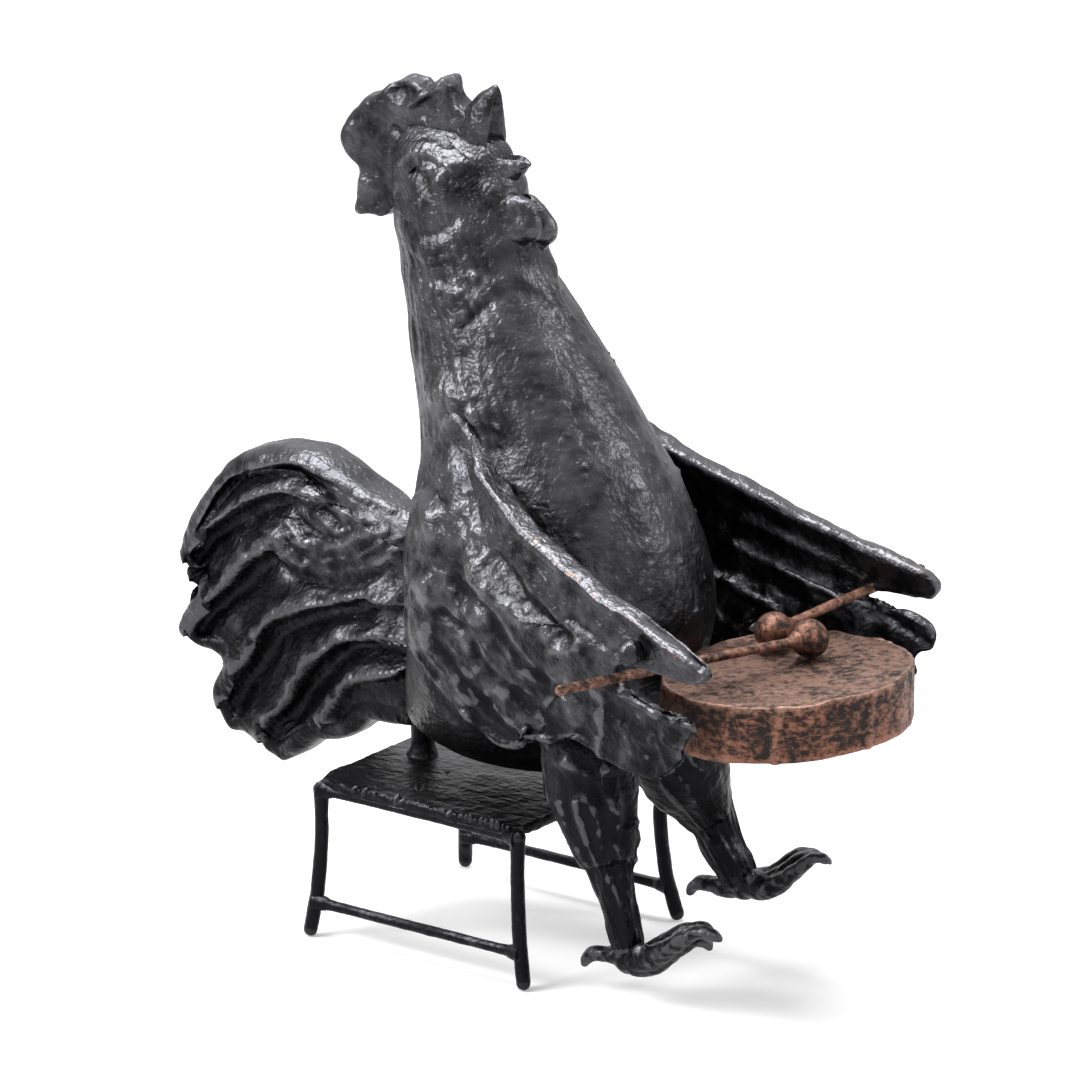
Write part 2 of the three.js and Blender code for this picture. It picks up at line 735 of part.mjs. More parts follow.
function makeDrum() {
  const profile = new THREE.Path();
  profile.moveTo(0, -DRUM_DEPTH);
  profile.lineTo(DRUM_RADIUS - DRUM_RIM_RADIUS, -DRUM_DEPTH);
  profile.absarc(
    DRUM_RADIUS - DRUM_RIM_RADIUS,
    DRUM_RIM_RADIUS - DRUM_DEPTH,
    DRUM_RIM_RADIUS,
    -Math.PI / 2,
    0,
    false,
  );
  profile.absarc(DRUM_RADIUS - DRUM_RIM_RADIUS, -DRUM_RIM_RADIUS, DRUM_RIM_RADIUS, 0, Math.PI / 2, false);
  profile.lineTo(0, 0);
  const shape = new THREE.LatheGeometry(profile.getPoints(2), 36);
  shape.rotateX(Math.PI / 2);
  shape.applyQuaternion(new THREE.Quaternion().setFromUnitVectors(upward, DRUM_AXIS));
  shape.translate(DRUM_CENTRE.x, DRUM_CENTRE.y, DRUM_CENTRE.z);
  return solidOf(shape);
}

function drumSkinHeight(x, y) {
  return DRUM_CENTRE.z + DRUM_SLOPE_FORWARD * (x - DRUM_CENTRE.x) + DRUM_SLOPE_LEFT * (y - DRUM_CENTRE.y);
}

// Mallets: each head rests on the skin, and its stick runs out through the slot below the wing's first feather.
const MALLETS = {
  [RIGHT]: { x: DRUM_CENTRE.x + 0.8, y: 6.2, length: RIGHT_STICK_LENGTH, over: 0.165, along: 0.79 },
  [LEFT]: { x: DRUM_CENTRE.x - 7.6, y: 7.4, length: LEFT_STICK_LENGTH, over: 0.135, along: 0.84 },
};

function malletLine(side) {
  const { x, y, length, over, along } = MALLETS[side];
  const head = point(x, y, drumSkinHeight(x, y) + MALLET_HEAD_DIAMETER / 2 + JOINT_GAP);
  const grip = fanPoint(wingRails(side), along, over);
  const direction = grip.clone().sub(head).normalize();
  return { head, grip, direction, end: head.clone().addScaledVector(direction, length) };
}

function makeStick(side) {
  const { head, end } = malletLine(side);
  return roundEndedBar(head, end, STICK_DIAMETER / 2, upward, 12);
}

function makeMalletHead(side) {
  const { head, direction } = malletLine(side);
  const radius = MALLET_HEAD_DIAMETER / 2;
  const ball = ellipsoid(head, point(radius, radius, radius), 12, 8);
  const collar = new THREE.LineCurve3(head, head.clone().addScaledVector(direction, radius + MALLET_COLLAR_LENGTH / 2));
  const half = MALLET_COLLAR_DIAMETER / 2;
  return ball.add(bar(collar, (t) => [half * (1.1 - 0.2 * t), half * (1.1 - 0.2 * t)], upward, 3, 12));
}

// Thumb: a nub brazed on the first feather, which bends down over the stick.
function makeThumb(side) {
  const { grip } = malletLine(side);
  const centre = point(grip.x, grip.y + side * THUMB_RADIUS * 0.5, grip.z + THUMB_RADIUS * 1.8);
  return ellipsoid(centre, point(THUMB_RADIUS, THUMB_RADIUS, THUMB_RADIUS * 1.45), 12, 8);
}

const BODY_REST = bodyAt(BODY_BASE + 6);

// Seat posts: two short stubs that carry the rump clear of the seat.
function makeSeatPost(x) {
  const half = POST_DIAMETER / 2;
  const path = new THREE.LineCurve3(point(x, 0, SEAT_TOP), point(x, 0, BODY_BASE + BODY_HEIGHT * 0.15));
  return bar(path, (t) => [half * (1.15 - 0.3 * t), half * (1.15 - 0.3 * t)], across, 3, 12);
}

// Bench: four bent bar legs let into the corners of a plate, a rail under each side and a low stretcher on each side.
const POST_X = SEAT_LENGTH / 2 - BENCH_LEG_DIAMETER * 0.4;
const POST_Y = SEAT_WIDTH / 2 - BENCH_LEG_DIAMETER * 0.4;

// The middle of a leg at a share of its bend: 0 under the seat and 1 at the floor.
function legMiddle(front, side, bend, z) {
  const post = point(front * POST_X - SEAT_SETBACK, side * POST_Y, z);
  const foot = point((front * BENCH_FOOT_LENGTH) / 2, (side * BENCH_FOOT_WIDTH) / 2, z);
  return post.lerp(foot, bend);
}

function makeBenchLeg(front, side) {
  const path = curve([
    legMiddle(front, side, 0, SEAT_HEIGHT),
    legMiddle(front, side, 0, SEAT_HEIGHT * 0.62),
    legMiddle(front, side, 0.3, SEAT_HEIGHT * 0.31),
    legMiddle(front, side, 0.62, SEAT_HEIGHT * 0.16),
    legMiddle(front, side, 1.1, -1),
  ]);
  const half = BENCH_LEG_DIAMETER / 2;
  const leg = bar(path, () => [half, half], across, 7, 10);
  const floor = new THREE.BoxGeometry(4 * SEAT_LENGTH, 4 * SEAT_WIDTH, 10);
  floor.translate(0, 0, -5);
  return leg.subtract(solidOf(floor));
}

function makeSeatPlate() {
  const outline = new THREE.Shape();
  const x = SEAT_LENGTH / 2;
  const y = SEAT_WIDTH / 2;
  const r = SEAT_CORNER_RADIUS;
  outline.moveTo(-x + r, -y);
  outline.lineTo(x - r, -y);
  outline.absarc(x - r, -y + r, r, -Math.PI / 2, 0, false);
  outline.lineTo(x, y - r);
  outline.absarc(x - r, y - r, r, 0, Math.PI / 2, false);
  outline.lineTo(-x + r, y);
  outline.absarc(-x + r, y - r, r, Math.PI / 2, Math.PI, false);
  outline.lineTo(-x, -y + r);
  outline.absarc(-x + r, -y + r, r, Math.PI, 1.5 * Math.PI, false);
  const bevel = SEAT_THICKNESS * 0.22;
  const plate = new THREE.ExtrudeGeometry(outline, {
    depth: SEAT_THICKNESS - 2 * bevel,
    bevelThickness: bevel,
    bevelSize: bevel,
    bevelOffset: -bevel,
    bevelSegments: 2,
    curveSegments: 5,
  });
  plate.translate(-SEAT_SETBACK, 0, SEAT_HEIGHT - SEAT_THICKNESS + bevel);
  return solidOf(plate);
}

// A straight bar along one side of the bench, between its two legs.
function makeSideBar(side, diameter, bend, z) {
  const path = new THREE.LineCurve3(legMiddle(-1, side, bend, z), legMiddle(1, side, bend, z));
  return bar(path, () => [diameter / 2, diameter / 2], across, 1, 10);
}

// Assembly
const figure = new THREE.Group();

function place(name, solid, material) {
  const geometry = geometryOf(solid);
  geometry.computeVertexNormals();
  const mesh = new THREE.Mesh(geometry, material);
  mesh.name = name;
  figure.add(mesh);
}

const blackened = new THREE.MeshStandardMaterial({ color: "#2b2a2b", roughness: 0.48, metalness: 0.75 });
const rubbedCopper = new THREE.MeshStandardMaterial({ color: "#8a5238", roughness: 0.5, metalness: 0.85 });

const body = makeBody();
const head = makeHead();
const comb = fitted(makeComb(), head, body);
const upperBeak = fitted(makeUpperBeak(), head, comb);
const lowerBeak = fitted(makeLowerBeak(), head, upperBeak);
place("body", body, blackened);
place("head", head, blackened);
place("comb", comb, blackened);
place("upper_beak", upperBeak, blackened);
place("lower_beak", lowerBeak, blackened);
const rightWattle = fitted(makeWattle(RIGHT), head, body, lowerBeak);
place("wattle_right", rightWattle, blackened);
place("wattle_left", fitted(makeWattle(LEFT), head, body, lowerBeak, rightWattle), blackened);
const tail = fitted(makeTail(), body);
place("tail", tail, blackened);

for (const [side, name] of [
  [RIGHT, "right"],
  [LEFT, "left"],
]) {
  const stick = makeStick(side);
  const wing = fitted(makeWing(side), body, stick);
  place("wing_" + name, wing, blackened);
  place("thumb_" + name, fitted(makeThumb(side), wing, stick), blackened);
  const leg = fitted(makeLeg(side), body);
  place("leg_" + name, leg, blackened);
  place("foot_" + name, fitted(makeFoot(side), leg), blackened);
  place("mallet_stick_" + name, stick, rubbedCopper);
  place("mallet_head_" + name, fitted(makeMalletHead(side), stick), rubbedCopper);
}

place("drum", fitted(makeDrum(), body), rubbedCopper);

place("seat_post_rear", fitted(makeSeatPost(BODY_REST.x - BODY_REST.halfLength), body, tail), blackened);
place("seat_post_front", fitted(makeSeatPost(BODY_REST.x + BODY_REST.halfLength * 0.5), body), blackened);

const benchLegs = [];
for (const [front, end] of [
  [1, "front"],
  [-1, "rear"],
])
  for (const [side, name] of [
    [RIGHT, "right"],
    [LEFT, "left"],
  ]) {
    const leg = makeBenchLeg(front, side);
    benchLegs.push(leg);
    place("bench_leg_" + end + "_" + name, leg, blackened);
  }
place("seat_plate", fitted(makeSeatPlate(), ...benchLegs), blackened);
const railHeight = SEAT_HEIGHT - SEAT_THICKNESS - JOINT_GAP - RAIL_DIAMETER / 2;
for (const [side, name] of [
  [RIGHT, "right"],
  [LEFT, "left"],
]) {
  const rail = makeSideBar(side, RAIL_DIAMETER, 0, railHeight);
  place("seat_rail_" + name, fitted(rail, ...benchLegs), blackened);
  const stretcher = makeSideBar(side, STRETCHER_DIAMETER, 0.5, STRETCHER_HEIGHT);
  place("stretcher_" + name, fitted(stretcher, ...benchLegs), blackened);
}

// The frame's origin is on the floor, below the middle of the figure's outline.
const bounds = new THREE.Box3().setFromObject(figure);
const middle = bounds.getCenter(new THREE.Vector3());
figure.position.set(-middle.x, -middle.y, -bounds.min.z);

export default figure;
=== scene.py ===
"""A crowing rooster in blackened bronze that sits on a bench of bent rod and beats a copper drum.

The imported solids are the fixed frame, and each operator below dresses some of them with a finer piece.
Shapes are worked out in millimetres from the middle of the bench: x forward, y to the bird's left, z up.
Hand-worked forms are drawn in the picture plane, which is 1080 points wide, and set at a given depth.
"""

import math

import bpy
import numpy as np
from bpy.props import FloatProperty, FloatVectorProperty, PointerProperty
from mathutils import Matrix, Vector


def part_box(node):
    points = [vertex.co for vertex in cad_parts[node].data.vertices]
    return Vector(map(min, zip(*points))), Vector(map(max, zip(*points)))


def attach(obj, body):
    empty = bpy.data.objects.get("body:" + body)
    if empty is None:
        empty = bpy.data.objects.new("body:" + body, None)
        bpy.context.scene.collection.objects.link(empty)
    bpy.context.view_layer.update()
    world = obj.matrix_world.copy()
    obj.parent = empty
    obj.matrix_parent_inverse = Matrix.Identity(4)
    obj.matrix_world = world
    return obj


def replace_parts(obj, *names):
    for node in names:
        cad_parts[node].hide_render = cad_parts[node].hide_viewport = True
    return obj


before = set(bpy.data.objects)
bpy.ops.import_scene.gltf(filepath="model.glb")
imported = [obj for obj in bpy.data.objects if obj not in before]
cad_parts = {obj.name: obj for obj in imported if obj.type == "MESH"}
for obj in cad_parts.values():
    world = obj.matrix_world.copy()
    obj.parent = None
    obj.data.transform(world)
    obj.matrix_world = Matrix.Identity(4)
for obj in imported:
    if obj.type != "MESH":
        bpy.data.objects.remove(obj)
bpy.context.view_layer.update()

bl_info = {
    "name": "Drumming rooster",
    "version": (1, 0, 0),
    "blender": (4, 5, 0),
    "location": "View3D > Sidebar > Rooster",
    "description": "Builds a cast bronze rooster with a drum on a bench",
    "category": "Object",
}

MM = 0.001
TINY = 1e-9  # keeps a division by a length from failing
SIDES = ((-1, "right"), (1, "left"))
SEAT_SETBACK = 0.65  # the seat's middle lies this much behind the bench's

# The picture plane: how it is turned and tilted, its points per millimetre, and where in it the floor
# below the bench's middle is.
VIEW_TURN = math.radians(36.86)
VIEW_TILT = math.radians(18.35)
PICTURE_SCALE = 5.83
PICTURE_MIDDLE = (494, 931)
PICTURE_SIZE = 1080
RIGHTWARD = np.array([math.cos(VIEW_TURN), math.sin(VIEW_TURN), 0])
TOWARDS_EYE = np.array(
    [
        math.sin(VIEW_TURN) * math.cos(VIEW_TILT),
        -math.cos(VIEW_TURN) * math.cos(VIEW_TILT),
        math.sin(VIEW_TILT),
    ]
)
UPWARD = np.cross(TOWARDS_EYE, RIGHTWARD)


def box_of(node):
    """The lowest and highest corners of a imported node, in millimetres of the frame."""
    return [np.array(corner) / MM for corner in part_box(node)]


def bench_middle():
    """The point of the floor under the middle of the bench, in millimetres of the frame."""
    low, high = box_of("seat_plate")
    return np.array([(low[0] + high[0]) / 2 + SEAT_SETBACK, (low[1] + high[1]) / 2, 0])


BENCH_MIDDLE = bench_middle()


def spot(across, down, y):
    """The point of the picture plane (across, down) that lies y to the bird's left of its middle plane."""
    side = (across - PICTURE_MIDDLE[0]) / PICTURE_SCALE
    rise = (PICTURE_MIDDLE[1] - down) / PICTURE_SCALE
    x = (side - RIGHTWARD[1] * y) / RIGHTWARD[0]
    z = (rise - UPWARD[0] * x - UPWARD[1] * y) / UPWARD[2]
    return np.stack([x, y + 0 * x, z], -1)


def spots(rows):
    """The points for rows of (across, down, y), with anything else in a row kept behind them."""
    table = np.array(rows, float)
    return np.column_stack([spot(table[:, 0], table[:, 1], table[:, 2]), table[:, 3:]])


def picture(points):
    """Where points are seen in the picture plane."""
    across = PICTURE_MIDDLE[0] + PICTURE_SCALE * (points @ RIGHTWARD)
    down = PICTURE_MIDDLE[1] - PICTURE_SCALE * (points @ UPWARD)
    return np.stack([across, down], -1)


# Curves and noise
def unit(vectors):
    """Vectors of length 1 that point the same way."""
    return vectors / np.maximum(np.linalg.norm(vectors, axis=-1, keepdims=True), TINY)


def around(count):
    """Angles that go once round in equal steps."""
    return np.linspace(0, 2 * np.pi, count, endpoint=False)


def through(knots, places):
    """The smooth curve through knots, at places from 0 to 1 in the knots' own numbering."""
    knots = np.asarray(knots, float)
    ends = [2 * knots[0] - knots[1], 2 * knots[-1] - knots[-2]]
    padded = np.vstack([ends[:1], knots, ends[1:]])
    at = np.clip(places, 0, 1) * (len(knots) - 1)
    i = np.minimum(at.astype(int), len(knots) - 2)
    t = (at - i)[..., None]
    a, b, c, d = (padded[i + k] for k in range(4))
    return 0.5 * (2 * b + (c - a) * t + (2 * a - 5 * b + 4 * c - d) * t**2 + (3 * b - 3 * c + d - a) * t**3)


def evenly(knots, places):
    """The same curve at places from 0 to 1 of its length."""
    fine = through(knots, np.linspace(0, 1, 40 * len(knots)))
    length = np.concatenate([[0], np.cumsum(np.linalg.norm(np.diff(fine, axis=0), axis=1))])
    at = np.asarray(places) * length[-1]
    return np.stack([np.interp(at, length, fine[:, k]) for k in range(fine.shape[1])], -1)


def closer_at_ends(count, crowding=0.72):
    """Places from 0 to 1 that lie closer together at both ends."""
    t = np.linspace(0, 1, count)
    return t - crowding / (2 * np.pi) * np.sin(2 * np.pi * t)


def closer_at_tip(count, crowding=0.8):
    """Places from 0 to 1 that lie closer together at 1."""
    t = np.linspace(0, 1, count)
    return t + crowding / np.pi * np.sin(np.pi * t) * t


def smoothstep(low, high, value):
    """0 below low, 1 above high, and an easy slope between."""
    t = np.clip((value - low) / (high - low), 0, 1)
    return t * t * (3 - 2 * t)


# Large odd numbers that scramble the place of a cell into a chance value
SCRAMBLE = (73856093, 19349663, 83492791)
LAST_SCRAMBLE = 1274126177
LARGEST = 0x7FFFFFFF


def rumple(points, size, seed):
    """Smooth random lumps about size across, from -1 to 1."""
    cell = np.asarray(points, float) / size
    base = np.floor(cell).astype(np.int64)
    t = cell - base
    t = t * t * (3 - 2 * t)
    total = np.zeros(cell.shape[:-1])
    for corner in np.ndindex(*(2,) * cell.shape[-1]):
        key = np.full(cell.shape[:-1], seed * 7919 + 17, np.int64)
        share = np.ones(cell.shape[:-1])
        for axis, step in enumerate(corner):
            key = (key ^ (base[..., axis] + step)) * SCRAMBLE[axis]
            key = (key ^ (key >> 13)) & LARGEST
            share *= t[..., axis] if step else 1 - t[..., axis]
        key = (key * LAST_SCRAMBLE) & LARGEST
        key ^= key >> 15
        total += share * (key / (LARGEST >> 1) - 1)
    return total


def ridge(where, line, left, right):
    """1 on a line of the picture plane, fading over left and right millimetres on the two sides of
    someone who walks along it."""
    line = np.array(line, float)
    if len(line) == 1:
        line = np.vstack([line, line + 0.01])
    path = through(line, np.linspace(0, 1, 4 * (len(line) - 1) + 1)) if len(line) > 2 else line
    wide = np.array([left, right]) * PICTURE_SCALE
    reach = 2.6 * wide.max()  # further off, the ridge is about a thousandth
    near = np.all((where > path.min(0) - reach) & (where < path.max(0) + reach), axis=-1)
    found = where[near]
    best = np.full(len(found), np.inf)
    side = np.zeros(len(found))
    for start, end in zip(path[:-1], path[1:]):
        step = end - start
        along = np.clip((found - start) @ step / (step @ step), 0, 1)
        away = found - start - along[:, None] * step
        distance = np.hypot(away[:, 0], away[:, 1])
        closer = distance < best
        best = np.where(closer, distance, best)
        side = np.where(closer, step[0] * away[:, 1] - step[1] * away[:, 0], side)
    made = np.zeros(where.shape[:-1])
    made[near] = np.exp(-((best / np.where(side < 0, wide[0], wide[1])) ** 2))
    return made


def seen_from(points, normals, side):
    """Where points are seen once they are all turned to one side of the bird, and how much each faces the
    eye."""
    flip = np.where(points[..., 1] * side < 0, -1, 1)
    turn = np.stack([np.ones_like(flip), flip, np.ones_like(flip)], -1)
    return picture(points * turn), smoothstep(0.02, 0.3, (normals * turn) @ TOWARDS_EYE)


# Skins. A stroke of the modelling tool is a row of (height, left, right, worn, line): how many millimetres
# it raises, or cuts where that is negative, its reach in millimetres to the left and right of its line, how
# bare it is rubbed, from 0 to 1, and the line in points of the picture plane. A lump is a row of (height,
# size, seed), in millimetres too.
class Skin:
    """A closed skin over rings of points, in millimetres, with how far the patina is rubbed off it."""

    def __init__(self, points, flat_ends=False):
        self.points = np.array(points, float)
        self.flat_ends = flat_ends
        if self.volume() < 0:
            self.points = self.points[:, ::-1].copy()
        self.worn = np.zeros(self.points.shape[:2])

    def volume(self):
        centre = self.points.mean((0, 1))
        a = self.points[:-1] - centre
        b = np.roll(self.points, -1, 1)[:-1] - centre
        c = self.points[1:] - centre
        return np.sum(np.cross(a, b) * c)

    def normals(self):
        around_ring = np.roll(self.points, -1, 1) - np.roll(self.points, 1, 1)
        return unit(np.cross(around_ring, np.gradient(self.points, axis=0)))

    def push(self, height):
        """Moves every point outward by its height."""
        self.points += self.normals() * np.asarray(height)[..., None]

    def carve(self, strokes, side=-1, highest=False, fade=1.0):
        """Adds strokes. With highest, the highest one counts, not the sum. fade says how much of them each
        point takes. A slow shake of up to 1.6 points keeps their lines from looking ruled."""
        where, facing = seen_from(self.points, self.normals(), side)
        shake = [rumple(self.points, 5, seed) for seed in (7, 8)]
        where = where + 1.6 * np.stack(shake, -1)
        facing = facing * (0.95 + 0.2 * rumple(self.points, 2.4, 9)) * fade
        total = np.zeros(self.worn.shape)
        for height, left, right, worn, line in strokes:
            rise = ridge(where, line, left, right) * facing
            total = np.maximum(total, height * rise) if highest else total + height * rise
            if worn:
                self.worn = np.maximum(self.worn, worn * rise**2)
        self.push(total)

    def lumps(self, *layers):
        """Adds layers of random lumps."""
        self.push(sum(height * rumple(self.points, size, seed) for height, size, seed in layers))

    def faces(self):
        """Its faces by the numbers of their points, and the poles that close rings at the two ends."""
        rows, count = self.points.shape[:2]
        row, column = np.meshgrid(np.arange(rows - 1), np.arange(count), indexing="ij")
        a = row * count + column
        b = row * count + (column + 1) % count
        faces = np.stack([a, b, b + count, a + count], -1).reshape(-1, 4).tolist()
        last = (rows - 1) * count
        if self.flat_ends:
            for i in range(count // 2 - 1):
                back = count - 1 - i
                faces.append([i, back, back - 1, i + 1])
                faces.append([last + i, last + i + 1, last + back - 1, last + back])
            return faces, []
        for i in range(count):
            j = (i + 1) % count
            faces.append([rows * count, j, i])
            faces.append([rows * count + 1, last + i, last + j])
        return faces, [self.points[0].mean(0), self.points[-1].mean(0)]


def vectors_of(items, key):
    """One row of three numbers for each point or normal of a mesh."""
    made = np.empty(len(items) * 3)
    items.foreach_get(key, made)
    return made.reshape(-1, 3)


def store(mesh, name, values):
    """Keeps one number for each point of a mesh, for its material to read."""
    mesh.attributes.new(name, "FLOAT", "POINT").data.foreach_set("value", np.array(values, np.float32))


def cast(name, skins, material):
    """Turns skins into one piece in the frame's metres."""
    vertices, faces, worn = [], [], []
    for skin in skins:
        first = len(vertices)
        made, poles = skin.faces()
        vertices += skin.points.reshape(-1, 3).tolist() + [list(pole) for pole in poles]
        worn += skin.worn.reshape(-1).tolist() + [0.0] * len(poles)
        faces += [[first + i for i in face] for face in made]
    mesh = bpy.data.meshes.new(name)
    mesh.from_pydata((np.array(vertices) + BENCH_MIDDLE) * MM, [], faces)
    store(mesh, "worn", worn)
    return settle(name, mesh, material)


def settle(name, mesh, material):
    """Finishes a mesh as a piece of the model: smooth, finished, and riding on the one body."""
    mesh.update()
    mesh.shade_smooth()
    mark_crests(mesh)
    mesh.materials.clear()
    mesh.materials.append(material)
    piece = place(name, mesh)
    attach(piece, "root")
    return piece


def place(name, data):
    """A new object in the scene."""
    made = bpy.data.objects.new(name, data)
    bpy.context.scene.collection.objects.link(made)
    return made


CREST_HEIGHT = 0.14  # a point that stands out this much counts as a full crest
SOFTENING = 10  # rounds of smoothing that find what lies about a millimetre round a point


def mark_crests(mesh):
    """Stores how far each point stands out of what is about a millimetre round it, as "crest", and how
    squarely it faces up, as "upward"."""
    count = len(mesh.vertices)
    points = vectors_of(mesh.vertices, "co")
    normals = vectors_of(mesh.vertex_normals, "vector")
    ends = np.empty(len(mesh.edges) * 2, np.int64)
    mesh.edges.foreach_get("vertices", ends)
    a, b = ends.reshape(-1, 2).T
    weight = np.bincount(a, minlength=count) + np.bincount(b, minlength=count)
    soft = points.copy()
    for _ in range(SOFTENING):
        total = np.zeros_like(soft)
        for axis in range(3):
            total[:, axis] = np.bincount(a, soft[b, axis], count) + np.bincount(b, soft[a, axis], count)
        soft = total / np.maximum(weight, 1)[:, None]
    crest = np.einsum("ij,ij->i", points - soft, normals) / (CREST_HEIGHT * MM)
    store(mesh, "crest", np.clip(crest, -1, 1))
    # painted highlight: how squarely a point faces up, which is where the bronze is painted lighter
    store(mesh, "painted_top_light", smoothstep(0.25, 1.0, normals[:, 2]))


# Materials
def linear(colour):
    """Linear red, green and blue of an sRGB hex colour."""
    parts = [int(colour[i : i + 2], 16) / 255 for i in (1, 3, 5)]
    return [c / 12.92 if c <= 0.04045 else ((c + 0.055) / 1.055) ** 2.4 for c in parts]


def add_node(tree, kind, inputs=None, **settings):
    """Adds a node. Each of its inputs takes a value, or the socket that feeds it."""
    made = tree.nodes.new(kind)
    for key, value in settings.items():
        setattr(made, key, value)
    for key, value in (inputs or {}).items():
        if isinstance(value, bpy.types.NodeSocket):
            tree.links.new(value, made.inputs[key])
        else:
            made.inputs[key].default_value = value
    return made


def reckon(tree, operation, *values):
    """The result of an operation on values, each a number or a socket."""
    return add_node(tree, "ShaderNodeMath", dict(enumerate(values)), operation=operation).outputs[0]


def spread(tree, value, low, high, to_low=0.0, to_high=1.0, **settings):
    """A value between low and high carried over to between to_low and to_high."""
    inputs = {"Value": value, "From Min": low, "From Max": high, "To Min": to_low, "To Max": to_high}
    return add_node(tree, "ShaderNodeMapRange", inputs, **settings).outputs["Result"]


def blend(tree, share, first, second):
    """From the first colour to the second. Each is a socket or red, green and blue."""
    first, second = (c if isinstance(c, bpy.types.NodeSocket) else (*c, 1) for c in (first, second))
    return add_node(tree, "ShaderNodeMix", {0: share, 6: first, 7: second}, data_type="RGBA").outputs[2]


def per_mm(size):
    """The scale at which a texture over metres has features about size millimetres across."""
    return 1 / (size * MM)


def noise(tree, where, size, detail=2.0, roughness=0.5, distortion=0.0):
    """Random clouds about size millimetres across."""
    inputs = {"Vector": where, "Scale": per_mm(size), "Detail": detail, "Roughness": roughness}
    return add_node(tree, "ShaderNodeTexNoise", {**inputs, "Distortion": distortion}).outputs["Fac"]


def bump(tree, height, strength, depth, below=None):
    """Relief up to depth millimetres, on top of the relief below."""
    inputs = {"Height": height, "Strength": strength, "Distance": depth * MM}
    if below is not None:
        inputs["Normal"] = below
    return add_node(tree, "ShaderNodeBump", inputs).outputs[0]


def stored(tree, *names):
    """The numbers that a mesh keeps for each point, by name."""
    return [add_node(tree, "ShaderNodeAttribute", attribute_name=name).outputs["Fac"] for name in names]


def new_material(name):
    """A material with nothing in it but the place on the object."""
    material = bpy.data.materials.new(name)
    material.use_nodes = True
    tree = material.node_tree
    tree.nodes.clear()
    return material, tree, add_node(tree, "ShaderNodeTexCoord").outputs["Object"]


def finish_metal(tree, colour, roughness, metallic, normal):
    inputs = {"Base Color": colour, "Roughness": roughness, "Metallic": metallic, "Normal": normal}
    surface = add_node(tree, "ShaderNodeBsdfPrincipled", inputs)
    add_node(tree, "ShaderNodeOutputMaterial", {"Surface": surface.outputs[0]})


def blackened_bronze(finish, name, grain=1.0, edge_wear_and_glint=0.32):
    """Bronze cast from hand-worked wax, blackened with liver of sulphur and waxed: a satin near-black skin
    with a fine cast grain, small pits, and bare metal where hands rub the sharpest edges. Its colour also
    holds painted light: painted shade low down, and painted highlights on what faces up and on the sharpest
    edges."""
    material, tree, here = new_material(name)
    worn, crest, painted_top_light, stipple = stored(tree, "worn", "crest", "painted_top_light", "stipple")

    # cloudy patina, patches about 6 mm across
    cloud = noise(tree, here, 6, 4.0, 0.6)
    # painted shade: the low parts, the legs and the bench, are painted darker, more so the lower they lie
    height = add_node(tree, "ShaderNodeSeparateXYZ", {"Vector": here}).outputs["Z"]
    painted_low_shade = spread(tree, height, 25 * MM, 85 * MM, -0.3, 0.02, interpolation_type="SMOOTHSTEP")
    patches_and_painted_shade = reckon(tree, "ADD", cloud, painted_low_shade)
    # painted highlight: what faces up is painted lighter and made smoother; what stands out is rubbed lighter
    # and smoother
    patina_and_painted_light = reckon(tree, "MULTIPLY_ADD", painted_top_light, 0.4, patches_and_painted_shade)
    rubbed = reckon(tree, "MULTIPLY_ADD", crest, 0.1, patina_and_painted_light)
    # the patina's tone mixes real patches and rubbed crests with the painted shade and painted highlight
    # above
    patina = blend(tree, spread(tree, rubbed, 0.34, 1.0), finish.deep, finish.high)
    roughness = spread(tree, rubbed, 0.2, 0.8, 0.46, 0.34)
    # the sharpest edges are rubbed to a lighter grey, which is also a painted highlight where they catch the
    # light
    patina_with_edge_glint = blend(tree, spread(tree, crest, 0.75, 1.0, 0.0, edge_wear_and_glint), patina, finish.edge)
    # bare metal in specks about 0.9 mm across, where a stroke is marked as worn
    speck = noise(tree, here, 0.9, 3.0, 0.65)
    bare = reckon(tree, "MULTIPLY_ADD", speck, 0.9, reckon(tree, "MULTIPLY", worn, 0.5))
    colour = blend(tree, spread(tree, bare, 1.02, 1.3), patina_with_edge_glint, finish.bare)

    # the wax's dabs and wrinkles, about 2.6 mm across
    normal = bump(tree, noise(tree, here, 2.6, 2.0, 0.5, 0.6), 0.5, 0.8)
    # cast grain about 1 mm across, twice as coarse as real grain so that it shows
    normal = bump(tree, noise(tree, here, 1.0, 1.5, 0.55), 0.75 * grain, 0.3, normal)
    # pits left by gas in the mould, about 0.5 mm wide, in one cell of 1.9 mm out of three
    cells = add_node(tree, "ShaderNodeTexVoronoi", {"Vector": here, "Scale": per_mm(1.9)})
    pick = reckon(tree, "GREATER_THAN", cells.outputs["Color"], 0.62)
    hollow = spread(tree, cells.outputs["Distance"], 0.08, 0.2, -1.0, 0.0)
    normal = bump(tree, reckon(tree, "MULTIPLY", hollow, pick), 0.6 * grain, 0.2, normal)
    # close stippling, about 0.6 mm across, where the face was dabbed with a brush
    close = {"Vector": here, "Scale": per_mm(0.62)}
    dots = add_node(tree, "ShaderNodeTexVoronoi", close, feature="SMOOTH_F1")
    normal = bump(tree, reckon(tree, "MULTIPLY", dots.outputs["Distance"], stipple), 0.9, 0.4, normal)
    finish_metal(tree, colour, roughness, 1.0, normal)
    return material


